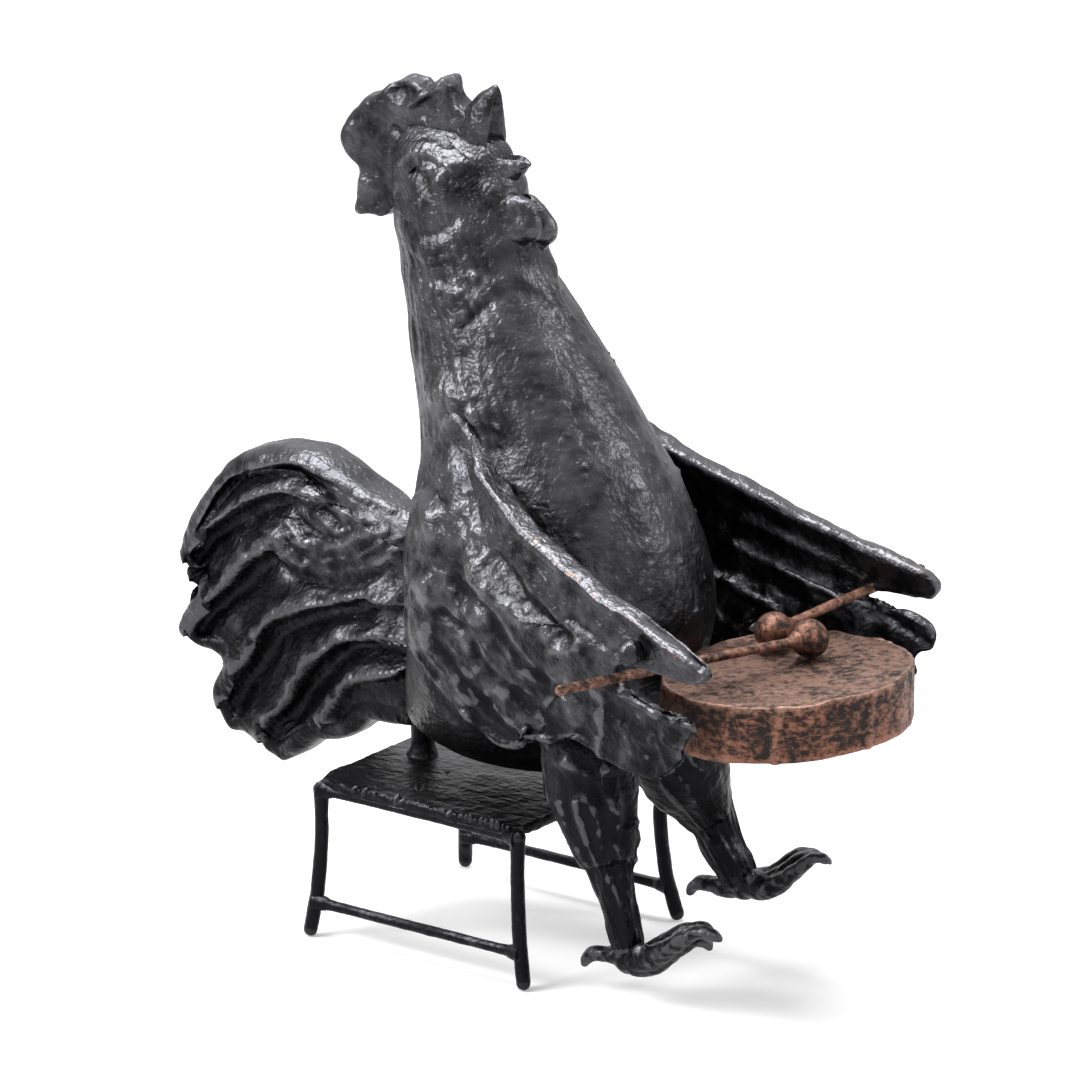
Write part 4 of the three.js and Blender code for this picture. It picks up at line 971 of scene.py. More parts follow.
# The outer face: feather grooves and their deep ends, beaded edges, and single dabs among the coverts
OUTER_STROKES = [
    (-0.9, 0.8, 1.2, 0, [(500, 556), (515, 579), (531, 600), (552, 621), (560, 634)]),
    (-0.8, 0.7, 1.1, 0, [(468, 584), (484, 605), (500, 628), (516, 652), (531, 670), (544, 683),
        (556, 690)]),
    (-0.7, 0.7, 1.0, 0, [(442, 610), (463, 631), (479, 652), (495, 670), (513, 688), (532, 704)]),
    (-0.6, 0.7, 1.0, 0, [(434, 640), (453, 662), (468, 681), (489, 699)]),
    (-0.7, 1.0, 1.2, 0, [(570, 618), (592, 634), (612, 650)]),
    (-1.1, 1.4, 1.4, 0, [(556, 628), (564, 640)]),
    (-0.9, 1.2, 1.2, 0, [(538, 672), (544, 680)]),
    (0.4, 0.9, 0.45, 0.2, [(413, 642), (429, 667), (450, 696), (468, 719), (489, 737), (508, 746),
        (524, 744)]),
    (0.45, 0.8, 0.5, 0.2, [(489, 694), (502, 712), (521, 728), (539, 739), (557, 741), (571, 736)]),
    (-0.5, 0.7, 0.7, 0, [(488, 700), (500, 718), (518, 734), (530, 741)]),
    (0.3, 0.8, 0.6, 0.1, [(572, 738), (594, 752), (620, 767), (643, 775), (658, 774), (670, 766)]),
    (-0.5, 0.8, 0.8, 0, [(656, 720), (651, 746), (649, 767)]),
    (0.7, 1.0, 0.8, 0.2, [(622, 690), (636, 700), (656, 710), (673, 718), (689, 722)]),
    (-0.7, 1.2, 1.4, 0, [(560, 690), (590, 700), (620, 712), (646, 724)]),
    (1.0, 1.4, 1.4, 0, [(456, 420), (466, 426), (474, 434)]),
    (0.9, 1.5, 1.5, 0, [(420, 500), (430, 520), (436, 540)]),
    (0.8, 1.3, 1.3, 0, [(462, 540), (470, 560), (470, 582)]),
    (0.8, 1.2, 1.2, 0, [(424, 584), (428, 602)]),
    (0.8, 1.2, 1.2, 0, [(482, 560), (484, 582)]),
    (0.9, 1.4, 1.4, 0, [(462, 606), (476, 620)]),
    (0.9, 1.4, 1.4, 0, [(486, 592), (500, 600)]),
    (0.7, 1.3, 1.3, 0, [(508, 608), (528, 624)]),
    (0.7, 1.2, 1.2, 0, [(556, 650), (574, 646)]),
    (-0.9, 1.3, 1.3, 0, [(430, 488), (440, 500)]),
    (-0.9, 1.2, 1.2, 0, [(464, 596), (456, 580)]),
    (-0.8, 1.2, 1.2, 0, [(488, 574), (494, 560)]),
    (-0.8, 1.2, 1.2, 0, [(474, 500), (478, 520)]),
    (0.6, 1.6, 0.6, 0, [(478, 470), (498, 508), (516, 532), (540, 556), (572, 582), (604, 608), (640, 632),
        (676, 660)]),
]
# The leading edge, rubbed bare
ARRIS_STROKES = [
    (0.15, 0.45, 0.45, 1.0, [(479, 474), (500, 503), (516, 526), (537, 547), (568, 573), (599, 600),
        (625, 615), (651, 636), (672, 652), (690, 667)]),
]
# The inner face: the ridge of the arm, and the feathers with the grooves between them
INNER_STROKES = [
    (0.8, 1.6, 2.2, 0, [(668, 448), (722, 478), (793, 517), (861, 550), (920, 575)]),
    (0.6, 0.7, 0.7, 0, [(740, 520), (780, 536), (820, 556), (862, 578)]),
    (-0.6, 1.4, 1.4, 0, [(740, 506), (790, 528), (840, 550)]),
    (0.6, 0.7, 0.7, 0, [(735, 545), (775, 566), (815, 586), (842, 600)]),
    (-0.6, 1.4, 1.4, 0, [(730, 532), (780, 552), (830, 576)]),
    (0.6, 0.7, 0.7, 0, [(715, 576), (743, 590), (778, 612)]),
    (-0.6, 1.4, 1.4, 0, [(715, 562), (760, 580), (800, 602)]),
    (0.6, 0.7, 0.7, 0, [(712, 608), (729, 622), (738, 626)]),
    (0.9, 1.0, 0.9, 0, [(880, 602), (902, 612), (920, 622), (934, 630)]),
    (-0.6, 1.0, 1.0, 0, [(880, 612), (905, 628), (925, 642)]),
]
WING_THICKNESS = 2.5
WING_ROWS, WING_COLUMNS = 170, 220


def wing_edges(side):
    """Leading and trailing edge, root and tips of a wing. What isn't seen of the left one mirrors the
    right one."""
    right = [spots(rows) for rows in (RIGHT_LEAD, RIGHT_TRAIL, RIGHT_ROOT, RIGHT_TIPS)]
    if side < 0:
        return right
    _, trail, root, _ = ([1, -1, 1] * edge - [0, WING_THICKNESS, 0] for edge in right)
    lead, tips = (spots(rows) - [1.5, 0, 0.85] for rows in (LEFT_LEAD, LEFT_TIPS))
    root = np.array([lead[0], (lead[0] + root[-1]) / 2, root[-1]])
    trail[-1] = tips[-1]
    return lead, trail, root, tips


def make_wing(side):
    """A bowed plate with a rounded edge, thicker at the shoulder, held clear of the trunk."""
    edges = wing_edges(side)
    surface = patch(*edges, closer_at_tip(WING_ROWS, 0.7), closer_at_ends(WING_COLUMNS))
    along = np.linspace(0, 1, WING_ROWS)[:, None]
    over = closer_at_ends(WING_COLUMNS)[None]
    surface[..., 1] += side * 2.0 * np.sin(np.pi * along) ** 1.2 * np.sin(np.pi * over)
    away = distance_to(outline_of(*edges), surface)
    normals = surface_normals(surface, TOWARDS_EYE)
    fall = edge_fall(away, 0.35 + 0.75 * smoothstep(0, 0.2, over) + 0 * away)
    near = surface - normals * fall[..., None]
    depth = WING_THICKNESS + 0.5 * (1 - smoothstep(0, 0.3, over)) + 2.6 * (1 - smoothstep(0, 0.35, along))
    depth = depth - 1.1 * smoothstep(0.6, 1, along)
    far = surface - normals * (depth - fall)[..., None]
    outside = near if side < 0 else far
    wanted = (1.8 + 0.9 * smoothstep(0, 5, away)) * smoothstep(0, 0.2, along)
    outside[..., 1] += side * np.maximum(0, wanted - trunk_gap(outside))
    skin = Skin(both_faces(near, far), flat_ends=True)
    skin.carve(OUTER_STROKES + ARRIS_STROKES, side=-1)
    skin.carve(INNER_STROKES, side=1)
    dab_coverts(skin, along, over)
    bead_edge(skin, side, away, along, over)
    skin.lumps((0.18, 3, 62), (0.1, 1.3, 63))
    fillet(skin, 3.5, 0.7)
    return skin


def dab_coverts(skin, along, over):
    """Dabs of wax on the upper wing, which leave the long feathers and the very edge free."""
    coverts = 1 - smoothstep(0.3, 0.7, along) * smoothstep(0.2, 0.6, 1 - over)
    upper = smoothstep(0.08, 0.3, over) * smoothstep(0.02, 0.2, along)
    dabs = np.clip(1.7 * rumple(skin.points * [1, 1, 0.65], 3.6, 61), -0.5, 1)
    fade = both_faces(coverts, coverts) * both_faces(upper, upper)
    skin.push(fade * (0.5 * dabs + 0.2 * rumple(skin.points, 1.7, 64)))


def bead_edge(skin, side, away, along, over):
    """A raised bead 0.9 mm inside the trailing edge of the outer face, with a groove along it."""
    rim = 0.32 * np.exp(-(((away - 0.9) / 0.6) ** 2)) - 0.3 * np.exp(-(((away - 2.4) / 0.9) ** 2))
    rim *= smoothstep(0.3, 0.55, over) * smoothstep(0.1, 0.3, along) * (1 - smoothstep(0.66, 0.8, along))
    skin.push(both_faces(rim, 0 * rim) if side < 0 else both_faces(0 * rim, rim))


def make_thumb(side):
    """The nub over a mallet's stick: the right one where it is seen, the left one where its solid lies."""
    low, high = box_of("thumb_right" if side < 0 else "thumb_left")
    middle = (low + high) / 2 - BENCH_MIDDLE
    if side < 0:
        middle = spot(627, 651, middle[1] - 0.6)
    skin = blob(middle, (2.1, 2.2, 2.3))
    skin.lumps((0.2, 2.5, 71))
    return skin


# Legs and feet: rows of (across, down, y, radius)
RIGHT_LEG = [
    (586, 701, -10.1, 2.5), (587, 707, -10.4, 5.2), (587, 716, -10.8, 7.4), (588, 728, -11.5, 8.4),
    (589, 752, -12.8, 8.3), (590, 775, -13.8, 8.1), (593, 795, -14.6, 7.7), (598, 815, -15, 6.9),
    (603, 834, -15.3, 6.1), (607, 850, -15.3, 5.4), (610, 864, -15.3, 4.2), (612, 880, -15.3, 3.5),
    (617, 900, -15.3, 3.1), (622, 920, -15.3, 2.9), (627, 938, -15.3, 2.9), (629, 948, -15.3, 2.6),
]
LEFT_LEG = [
    (658, 718, 8.2, 2.6), (661, 724, 8.6, 5.4), (666, 733, 9.0, 7.6), (672, 745, 9.5, 8.6),
    (684, 768, 11.5, 8.2), (695, 788, 13, 7), (704, 806, 14.2, 5.4), (713, 822, 15.3, 4.1),
    (721, 838, 15.3, 3.7), (729, 854, 15.3, 3.6), (736, 868, 15.3, 3.4), (741, 880, 15.3, 3.2),
    (744, 888, 15.3, 2.6),
]
LEG_STROKES = [
    (0.9, 0.8, 0.8, 0.2, [(638, 820), (643, 838), (640, 852), (628, 860)]),
    (-0.6, 0.8, 0.8, 0, [(628, 862), (606, 868), (586, 868)]),
    (0.5, 1.0, 1.0, 0, [(560, 800), (572, 840), (584, 866)]),
    (-0.5, 1.0, 1.0, 0, [(600, 790), (606, 826), (604, 856)]),
    (0.5, 1.2, 1.2, 0, [(566, 762), (584, 772), (604, 768)]),
    (0.5, 1.2, 1.0, 0, [(578, 800), (584, 832), (580, 844)]),
    (-0.5, 0.8, 0.8, 0, [(622, 776), (626, 810), (622, 840)]),
    (0.4, 0.6, 0.6, 0.1, [(606, 875), (616, 890), (628, 915)]),
]


def tube_frame(rows, count):
    """Rows of a tube in even steps, and the directions across it: to the bird's left, and square to that."""
    line = evenly(spots(rows), np.linspace(0, 1, count))
    along = unit(np.gradient(line[:, :3], axis=0))
    wide = unit(np.array([0, 1.0, 0]) - along * along[:, 1:2])
    return line, wide, np.cross(along, wide)


def make_leg(side):
    """A feathered thigh that runs into a thin shank."""
    line, wide, deep = tube_frame(RIGHT_LEG if side < 0 else LEFT_LEG, 190)
    turn = around(150)[None, :, None]
    ring = wide[:, None] * np.cos(turn) * 0.94 + deep[:, None] * np.sin(turn)
    skin = Skin(line[:, None, :3] + ring * line[:, 3, None, None])
    turn = np.broadcast_to(turn[..., 0], skin.worn.shape)
    skin.push(0.22 * feather_grooves(turn, skin.points[..., 2], 5, 1.6, 81))
    skin.lumps((0.4, 5, 82), (0.2, 2.2, 83), (0.09, 1.1, 84))
    if side < 0:
        skin.carve(LEG_STROKES)
    return skin


def fuse(name, skins, voxel, smooth):
    """One mesh from skins that run into each other, with its corners eased."""
    rough = cast(name + "_rough", skins, metal("blackened_cast_bronze"))
    remesh = rough.modifiers.new("Fuse", "REMESH")
    remesh.mode = "VOXEL"
    remesh.voxel_size = voxel * MM
    ease = rough.modifiers.new("Ease", "SMOOTH")
    ease.iterations = smooth
    ease.factor = 0.5
    mesh = baked(rough)
    mesh.name = name
    return mesh


def baked(source):
    """The plain mesh of an object with its modifiers applied. The object itself is removed."""
    bpy.context.view_layer.update()
    graph = bpy.context.evaluated_depsgraph_get()
    mesh = bpy.data.meshes.new_from_object(source.evaluated_get(graph))
    bpy.data.objects.remove(source)
    return mesh


def mesh_relief(mesh, layers):
    """Adds layers of random lumps to a fused mesh."""
    points = vectors_of(mesh.vertices, "co")
    height = sum(high * rumple(points / MM, size, seed) for high, size, seed in layers)
    points += vectors_of(mesh.vertex_normals, "vector") * (height * MM)[:, None]
    mesh.vertices.foreach_set("co", points.reshape(-1))
    mesh.update()


def toe(rows, count=70, columns=40):
    """A toe along rows of (across, down, y, half width, half height)."""
    line, wide, high = tube_frame(rows, count)
    turn = around(columns)[None, :, None]
    half_wide, half_high = line[:, 3, None, None], line[:, 4, None, None]
    ring = wide[:, None] * np.cos(turn) * half_wide + high[:, None] * np.sin(turn) * half_high
    return Skin(line[:, None, :3] + ring)


# Each foot has three toes in front and one behind
RIGHT_TOES = [
    [(632, 956, -15.3, 2.6, 2.2), (646, 957, -16.4, 2.3, 2.0), (660, 949, -17.6, 2.0, 1.9),
        (674, 940, -18.4, 1.9, 1.6), (688, 930, -18.9, 1.8, 1.3), (702, 927, -19.2, 1.5, 1.2),
        (714, 932, -19.4, 1.1, 0.9), (719, 936, -19.5, 0.4, 0.4)],
    [(634, 960, -15.3, 2.6, 2.4), (650, 960, -15.3, 2.4, 2.2), (664, 952, -15.3, 2.2, 2.0),
        (678, 943, -15.3, 2.0, 1.6), (692, 936, -15.3, 1.8, 1.3), (702, 937, -15.3, 1.5, 1.2),
        (707, 943, -15.3, 0.8, 0.8), (708, 947, -15.3, 0.3, 0.3)],
    [(632, 954, -15.3, 2.4, 2.0), (648, 950, -13.6, 2.1, 1.8), (662, 941, -12.6, 1.9, 1.6),
        (676, 931, -12.2, 1.7, 1.3), (690, 924, -12, 1.5, 1.1), (703, 923, -12, 1.2, 0.9),
        (712, 927, -12, 0.4, 0.4)],
    [(628, 954, -15.3, 2.3, 2.2), (614, 952, -15.3, 1.9, 1.6), (602, 951, -15.3, 1.7, 1.4),
        (592, 952, -15.3, 1.6, 1.3), (586, 958, -15.3, 1.3, 1.0), (583, 964, -15.3, 0.6, 0.6)],
]
LEFT_TOES = [
    [(748, 884, 15.3, 2.6, 2.2), (762, 888, 14.2, 2.4, 2.1), (776, 884, 13.4, 2.2, 1.9),
        (788, 876, 12.9, 2.0, 1.6), (800, 866, 12.6, 1.8, 1.4), (812, 857, 12.4, 1.5, 1.2),
        (822, 857, 12.3, 1.1, 0.9), (829, 861, 12.3, 0.5, 0.5)],
    [(750, 882, 15.3, 2.6, 2.2), (764, 884, 15.3, 2.4, 2.0), (778, 878, 15.3, 2.2, 1.8),
        (790, 868, 15.3, 2.0, 1.5), (802, 858, 15.3, 1.7, 1.3), (814, 855, 15.3, 1.4, 1.1),
        (826, 860, 15.3, 0.9, 0.8), (830, 864, 15.3, 0.3, 0.3)],
    [(748, 880, 15.3, 2.4, 2.0), (764, 878, 16.6, 2.1, 1.8), (778, 870, 17.6, 1.9, 1.5),
        (790, 860, 18.2, 1.7, 1.3), (802, 853, 18.6, 1.4, 1.1), (814, 853, 18.8, 1.1, 0.9),
        (822, 858, 18.9, 0.4, 0.4)],
    [(742, 886, 15.3, 2.4, 2.2), (728, 888, 15.3, 2.1, 1.8), (714, 885, 15.3, 1.9, 1.5),
        (702, 884, 15.3, 1.7, 1.3), (694, 888, 15.3, 1.3, 1.1), (690, 897, 15.3, 0.6, 0.6)],
]
HEELS = {-1: (629, 955, -15.3), 1: (744, 884, 15.3)}
HEEL_SIZE, KNUCKLE_SIZE = (2.9, 2.6, 3.0), (1.8, 1.6, 1.8)


def make_foot(side):
    """Four toes, a heel and a knuckle, fused into one mesh."""
    across, down, y = HEELS[side]
    skins = [toe(rows) for rows in (RIGHT_TOES if side < 0 else LEFT_TOES)]
    skins.append(blob(spots([(across, down, y)])[0], HEEL_SIZE))
    skins.append(blob(spots([(across + 12, down - 5, y - 2)])[0], KNUCKLE_SIZE))
    mesh = fuse("foot", skins, 0.32, 6)
    mesh_relief(mesh, [(0.2, 2.2, 91), (0.1, 1.0, 92)])
    return mesh


# The drum: how its top slopes to the front and to the left, and the seams of its wall as rows of (degrees
# round from the front, half width in degrees, height)
DRUM_SLOPE = (0.076, 0.023)
DRUM_SEAMS = [
    (-58, 2.4, 0.4), (-11.5, 2.0, 0.3), (-81, 2.0, 0.16), (25, 2, 0.25), (70, 2, 0.25), (120, 2, 0.25),
    (178, 2, 0.3), (225, 2, 0.25),
]
DRUM_EDGE = 0.45  # how far the upper edge is rounded


def mm(setting):
    """A length from the settings in millimetres, without the noise of how it is stored."""
    return round(setting / MM, 4)


def drum_profile(radius, depth):
    """The drum's outline, as distance from its axis and height below its top, from below to above."""
    top = [(r, 0) for r in np.linspace(0.3, radius - 0.6, 70)]
    quarter = np.linspace(0, np.pi / 2, 7)
    edge = [
        (radius - DRUM_EDGE + DRUM_EDGE * math.sin(a), -DRUM_EDGE + DRUM_EDGE * math.cos(a)) for a in quarter
    ]
    wall = [(radius, z) for z in np.linspace(-0.6, -depth + 0.8, 44)]
    under = [(radius - inset, -depth + rise) for inset, rise in ((0.1, 0.4), (0.35, 0.12), (0.8, 0))]
    base = [(r, -depth) for r in np.linspace(radius - 1.5, 0.3, 24)]
    return np.array(top + edge + wall + under + base)[::-1]


def make_drum(drum):
    """A flat drum with faint seams round its wall, an uneven lip and a sloping top."""
    radius, top = mm(drum.radius), mm(drum.top)
    turn = around(400)
    reach, height = drum_profile(radius, mm(drum.depth)).T[..., None]
    skin = Skin(np.stack([reach * np.cos(turn), reach * np.sin(turn), height + 0 * turn], -1))

    at_wall = smoothstep(radius - 1, radius - 0.1, reach) + 0 * turn
    sway = 3 * rumple(np.stack([0 * height[:, 0], height[:, 0]], -1), 4, 7)[:, None]
    seams = 0 * at_wall
    for place_round, wide, high in DRUM_SEAMS:
        off = (np.degrees(turn)[None] - place_round + 180) % 360 - 180 + sway
        seams = seams + high * np.exp(-((off / wide) ** 2))
    skin.push(at_wall * (seams + 0.22 * rumple(skin.points * [1, 1, 0.5], 4.5, 101)))

    # the lip is uneven, in long waves with short ones on them
    rim = np.stack([np.cos(turn) * 21, np.sin(turn) * 21], -1)
    lip = 0.28 * rumple(rim, 5, 102)[None] + 0.12 * rumple(rim, 1.6, 103)[None]
    near_rim = smoothstep(radius - 2.4, radius, reach) * smoothstep(-2.5, 0, height)
    skin.points[..., 2] += near_rim * lip
    skin.points[..., 2] += smoothstep(-0.5, 0, height) * 0.14 * rumple(skin.points, 5, 104)

    # the top is rubbed most, then the rim and the crests of the seams
    rubbed = near_rim * smoothstep(-1.4, -0.2, height) * smoothstep(radius - 0.8, radius - 0.2, reach)
    on_top = smoothstep(0.85, 0.99, skin.normals()[..., 2])
    skin.worn = np.clip(rubbed * 0.4 + at_wall * np.clip(seams, 0, 0.12) + 0.62 * on_top, 0, 1)
    skin.points[..., 2] += DRUM_SLOPE[0] * skin.points[..., 0] + DRUM_SLOPE[1] * skin.points[..., 1]
    front = box_of("drum")[1][0] - BENCH_MIDDLE[0]
    skin.points += [front - radius * 0.998, 0, top]
    return skin


# Bars: Geometry Nodes trees that work along a line
def line_tree(name, result, sizes):
    """A tree that takes a line and steps along it. The first of its sizes is the step."""
    tree = bpy.data.node_groups.new(name, "GeometryNodeTree")
    add_socket = tree.interface.new_socket
    add_socket(name="Line", in_out="INPUT", socket_type="NodeSocketGeometry")
    add_socket(name=result, in_out="OUTPUT", socket_type="NodeSocketGeometry")
    for label, default in sizes.items():
        kind = "NodeSocketInt" if isinstance(default, int) else "NodeSocketFloat"
        add_socket(name=label, in_out="INPUT", socket_type=kind).default_value = default
    given = add_node(tree, "NodeGroupInput").outputs
    curve = add_node(tree, "GeometryNodeMeshToCurve", {"Mesh": given["Line"]})
    steps = {"Curve": curve.outputs[0], "Length": given[next(iter(sizes))]}
    return tree, given, add_node(tree, "GeometryNodeResampleCurve", steps, mode="LENGTH").outputs[0]


def end_tree(tree, grown, result, material):
    """Hands on what has grown on the line, as plain mesh in its material."""
    real = add_node(tree, "GeometryNodeRealizeInstances", {"Geometry": grown})
    painted = add_node(tree, "GeometryNodeSetMaterial", {"Geometry": real.outputs[0], "Material": material})
    add_node(tree, "NodeGroupOutput", {result: painted.outputs[0]})
    return tree


def cast_rod_tree(material):
    """Lays a rod along the line. Each point's "radius" gives its thickness in metres, and the skin is
    roughened like hand-rolled wax."""
    sizes = {"Step": 0.35 * MM, "Sides": 40, "Lump height": 0.16 * MM, "Lump size": 1.8 * MM}
    tree, given, line = line_tree("cast_rod", "Rod", sizes)
    radius = add_node(tree, "GeometryNodeInputNamedAttribute", {"Name": "radius"}, data_type="FLOAT")
    ring = add_node(tree, "GeometryNodeCurvePrimitiveCircle", {"Resolution": given["Sides"], "Radius": 1.0})
    swept = {"Curve": line, "Profile Curve": ring.outputs[0], "Scale": radius.outputs["Attribute"]}
    rod = add_node(tree, "GeometryNodeCurveToMesh", {**swept, "Fill Caps": True})
    here = add_node(tree, "GeometryNodeInputPosition").outputs[0]
    scale = reckon(tree, "DIVIDE", 1.0, given["Lump size"])
    lumps = add_node(tree, "ShaderNodeTexNoise", {"Vector": here, "Scale": scale, "Detail": 2.0})
    centred = reckon(tree, "SUBTRACT", lumps.outputs["Fac"], 0.5)
    high = reckon(tree, "MULTIPLY", reckon(tree, "MULTIPLY", centred, given["Lump height"]), 2.0)
    outward = add_node(tree, "GeometryNodeInputNormal").outputs[0]
    offset = add_node(tree, "ShaderNodeVectorMath", {0: outward, "Scale": high}, operation="SCALE")
    moved = {"Geometry": rod.outputs[0], "Offset": offset.outputs[0]}
    return end_tree(tree, add_node(tree, "GeometryNodeSetPosition", moved).outputs[0], "Rod", material)


def weld_bead_tree(material):
    """Drops beads of spilt metal along the line, each turned and stretched its own way."""
    sizes = {"Spacing": 1.1 * MM, "Smallest": 0.25 * MM, "Largest": 0.75 * MM, "Seed": 5}
    tree, given, line = line_tree("weld_beads", "Beads", sizes)
    bead = add_node(tree, "GeometryNodeMeshIcoSphere", {"Radius": 1.0, "Subdivisions": 3})
    between = {2: given["Smallest"], 3: given["Largest"], 8: given["Seed"]}
    size = add_node(tree, "FunctionNodeRandomValue", between, data_type="FLOAT").outputs[1]
    angles = {0: (0, 0, 0), 1: (6.3, 6.3, 6.3), 8: given["Seed"]}
    turn = add_node(tree, "FunctionNodeRandomValue", angles, data_type="FLOAT_VECTOR").outputs[0]
    long = add_node(tree, "ShaderNodeVectorMath", {0: (1.5, 1.0, 0.8), "Scale": size}, operation="SCALE")
    dropped = {"Points": line, "Instance": bead.outputs["Mesh"], "Rotation": turn, "Scale": long.outputs[0]}
    grown = add_node(tree, "GeometryNodeInstanceOnPoints", dropped).outputs[0]
    return end_tree(tree, grown, "Beads", material)


def grow_on_line(name, tree, line, inputs, material, slot="blackened_bronze", worn=0.0):
    """Runs a tree over a line of (point, radius) in millimetres, and keeps the result as a piece."""
    vertices = [tuple((np.array(point) + BENCH_MIDDLE) * MM) for point, _ in line]
    mesh = bpy.data.meshes.new(name + "_line")
    mesh.from_pydata(vertices, [(i, i + 1) for i in range(len(line) - 1)], [])
    store(mesh, "radius", [radius * MM for _, radius in line])
    source = place(name + "_line", mesh)
    modifier = source.modifiers.new("Grow", "NODES")
    modifier.node_group = tree
    for item in tree.interface.items_tree:
        if item.item_type == "SOCKET" and item.in_out == "INPUT" and item.name in inputs:
            modifier[item.identifier] = inputs[item.name]
    made = baked(source)
    store(made, "worn", np.full(len(made.vertices), worn))
    return settle(name, made, material)


def rod_line(knots, radii, free_ends=True, count=60):
    """Points and radii along a smooth line. Free ends are rounded over."""
    rows = evenly(np.column_stack([np.array(knots, float), np.array(radii, float)]), np.linspace(0, 1, count))
    line = [(tuple(row[:3]), row[3]) for row in rows]
    for end, neighbour in ((0, 1), (-1, -2)) if free_ends else ():
        tip, size = rows[end, :3], rows[end, 3]
        inward = rows[neighbour, :3] - tip
        inward /= np.linalg.norm(inward)
        cap = []
        for angle in np.linspace(0.12, np.pi / 2, 7):
            point = tip + inward * size * (1 - math.sin(angle))
            cap.append((tuple(point), max(0.04, size * math.cos(angle))))
        keep = [(p, r) for p, r in line if np.linalg.norm(np.array(p) - tip) > size]
        line = cap[::-1] + keep if end == 0 else keep + cap
    return line


# Mallets
STICK_RADII = [0.85, 0.86, 0.9]
STICK_BOW = 0.25  # the sticks rise this much in their middle
STICK_END = 1.2  # and end this much short, inside the wing
COLLAR_PLACES, COLLAR_RADII = (1.5, 3.2, 4.6), [2.0, 1.75, 1.35]
ROLLED_WAX = {"Lump height": 0.16 * MM, "Lump size": 1.6 * MM, "Sides": 40, "Step": 0.25 * MM}


def mallet_axis(name):
    """The two ends of a mallet's stick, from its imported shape, with the one in the ball first."""
    points = vectors_of(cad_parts["mallet_stick_" + name].data.vertices, "co") / MM - BENCH_MIDDLE
    centre = (points.min(0) + points.max(0)) / 2
    direction = np.linalg.svd(points - points.mean(0))[2][0]
    along = (points - centre) @ direction
    low, high = box_of("mallet_head_" + name)
    ball = (low + high) / 2 - BENCH_MIDDLE
    ends = [centre + direction * along.min(), centre + direction * along.max()]
    return sorted(ends, key=lambda end: np.linalg.norm(end - ball))


def make_ball(middle, radius):
    """The ball of a mallet, rubbed a little on top."""
    ball = blob(middle, (radius, radius, radius), 110, 130)
    ball.lumps((0.12, 2.4, 121), (0.05, 1.0, 122))
    ball.worn = smoothstep(0.1, 1, ball.normals()[..., 2]) * 0.25
    return ball


# Bench
SEAT_EDGE = 0.45  # how far the seat's edge bulges
SEAT_SQUARENESS = 14  # the power of the rounded square that the seat is
SEAT_PITS = [
    (-0.5, 0.5, 0.5, 0, [(419, 787)]),
    (-0.4, 0.4, 0.4, 0, [(360, 790)]),
    (-0.4, 0.4, 0.4, 0, [(448, 774)]),
]
BAR_PLACES = (0, 0.05, 0.11, 0.5, 0.89, 0.95, 1)  # from leg to leg, closer where a bar thickens into them
RAIL_RADII = [1.9, 1.15, 0.85, 0.8, 0.85, 1.15, 1.9]
STRETCHER_RADII = [1.7, 1.25, 0.95, 0.92, 0.95, 1.25, 1.7]
STRETCHER_HEIGHT = 6.2
POST_WAIST = 31.5  # how high above the floor the stubs under the bird are thinnest
POST_RADII = [2.9, 2.0, 2.4]
SMOOTH_ROD = {"Lump height": 0.11 * MM, "Lump size": 3.2 * MM, "Sides": 44, "Step": 0.3 * MM}


def leg_middle(bench, front, side, bend, z):
    """The middle of a leg at height z. bend is 0 below the corner of the seat and 1 where the leg stands."""
    inset = mm(bench.leg) * 0.4
    x, y = mm(bench.seat_length) / 2 - inset, mm(bench.seat_width) / 2 - inset
    post = np.array([front * x - SEAT_SETBACK, side * y, z])
    foot = np.array([front * mm(bench.foot_length) / 2, side * mm(bench.foot_width) / 2, z])
    return post + (foot - post) * bend


def leg_line(bench, front, side):
    """A leg that drops from the corner of the seat and bends out to where it stands."""
    height = mm(bench.seat_height)
    rows = [  # bend, height above the floor, and share of its thickness
        (0, height - 0.4, 1.25),
        (0, height * 0.82, 1.02),
        (0, height * 0.62, 1),
        (0.3, height * 0.31, 1.02),
        (0.62, height * 0.16, 1.04),
        (1.0, 0.05, 1),
    ]
    knots = [leg_middle(bench, front, side, bend, z) for bend, z, _ in rows]
    return rod_line(knots, [mm(bench.leg) / 2 * share for *_, share in rows])


def bar_line(bench, side, bend, z, radii):
    """A bar from the rear leg to the front leg of one side."""
    rear, front = leg_middle(bench, -1, side, bend, z), leg_middle(bench, 1, side, bend, z)
    return rod_line([rear + (front - rear) * place_along for place_along in BAR_PLACES], radii, False, 120)


def post_line(end, height):
    """A stub that carries the bird clear of the seat."""
    low, high = box_of("seat_post_" + end)
    x, y, _ = (low + high) / 2 - BENCH_MIDDLE
    return rod_line([(x, y, z) for z in (height - 0.3, POST_WAIST, high[2] + 1.5)], POST_RADII, False)


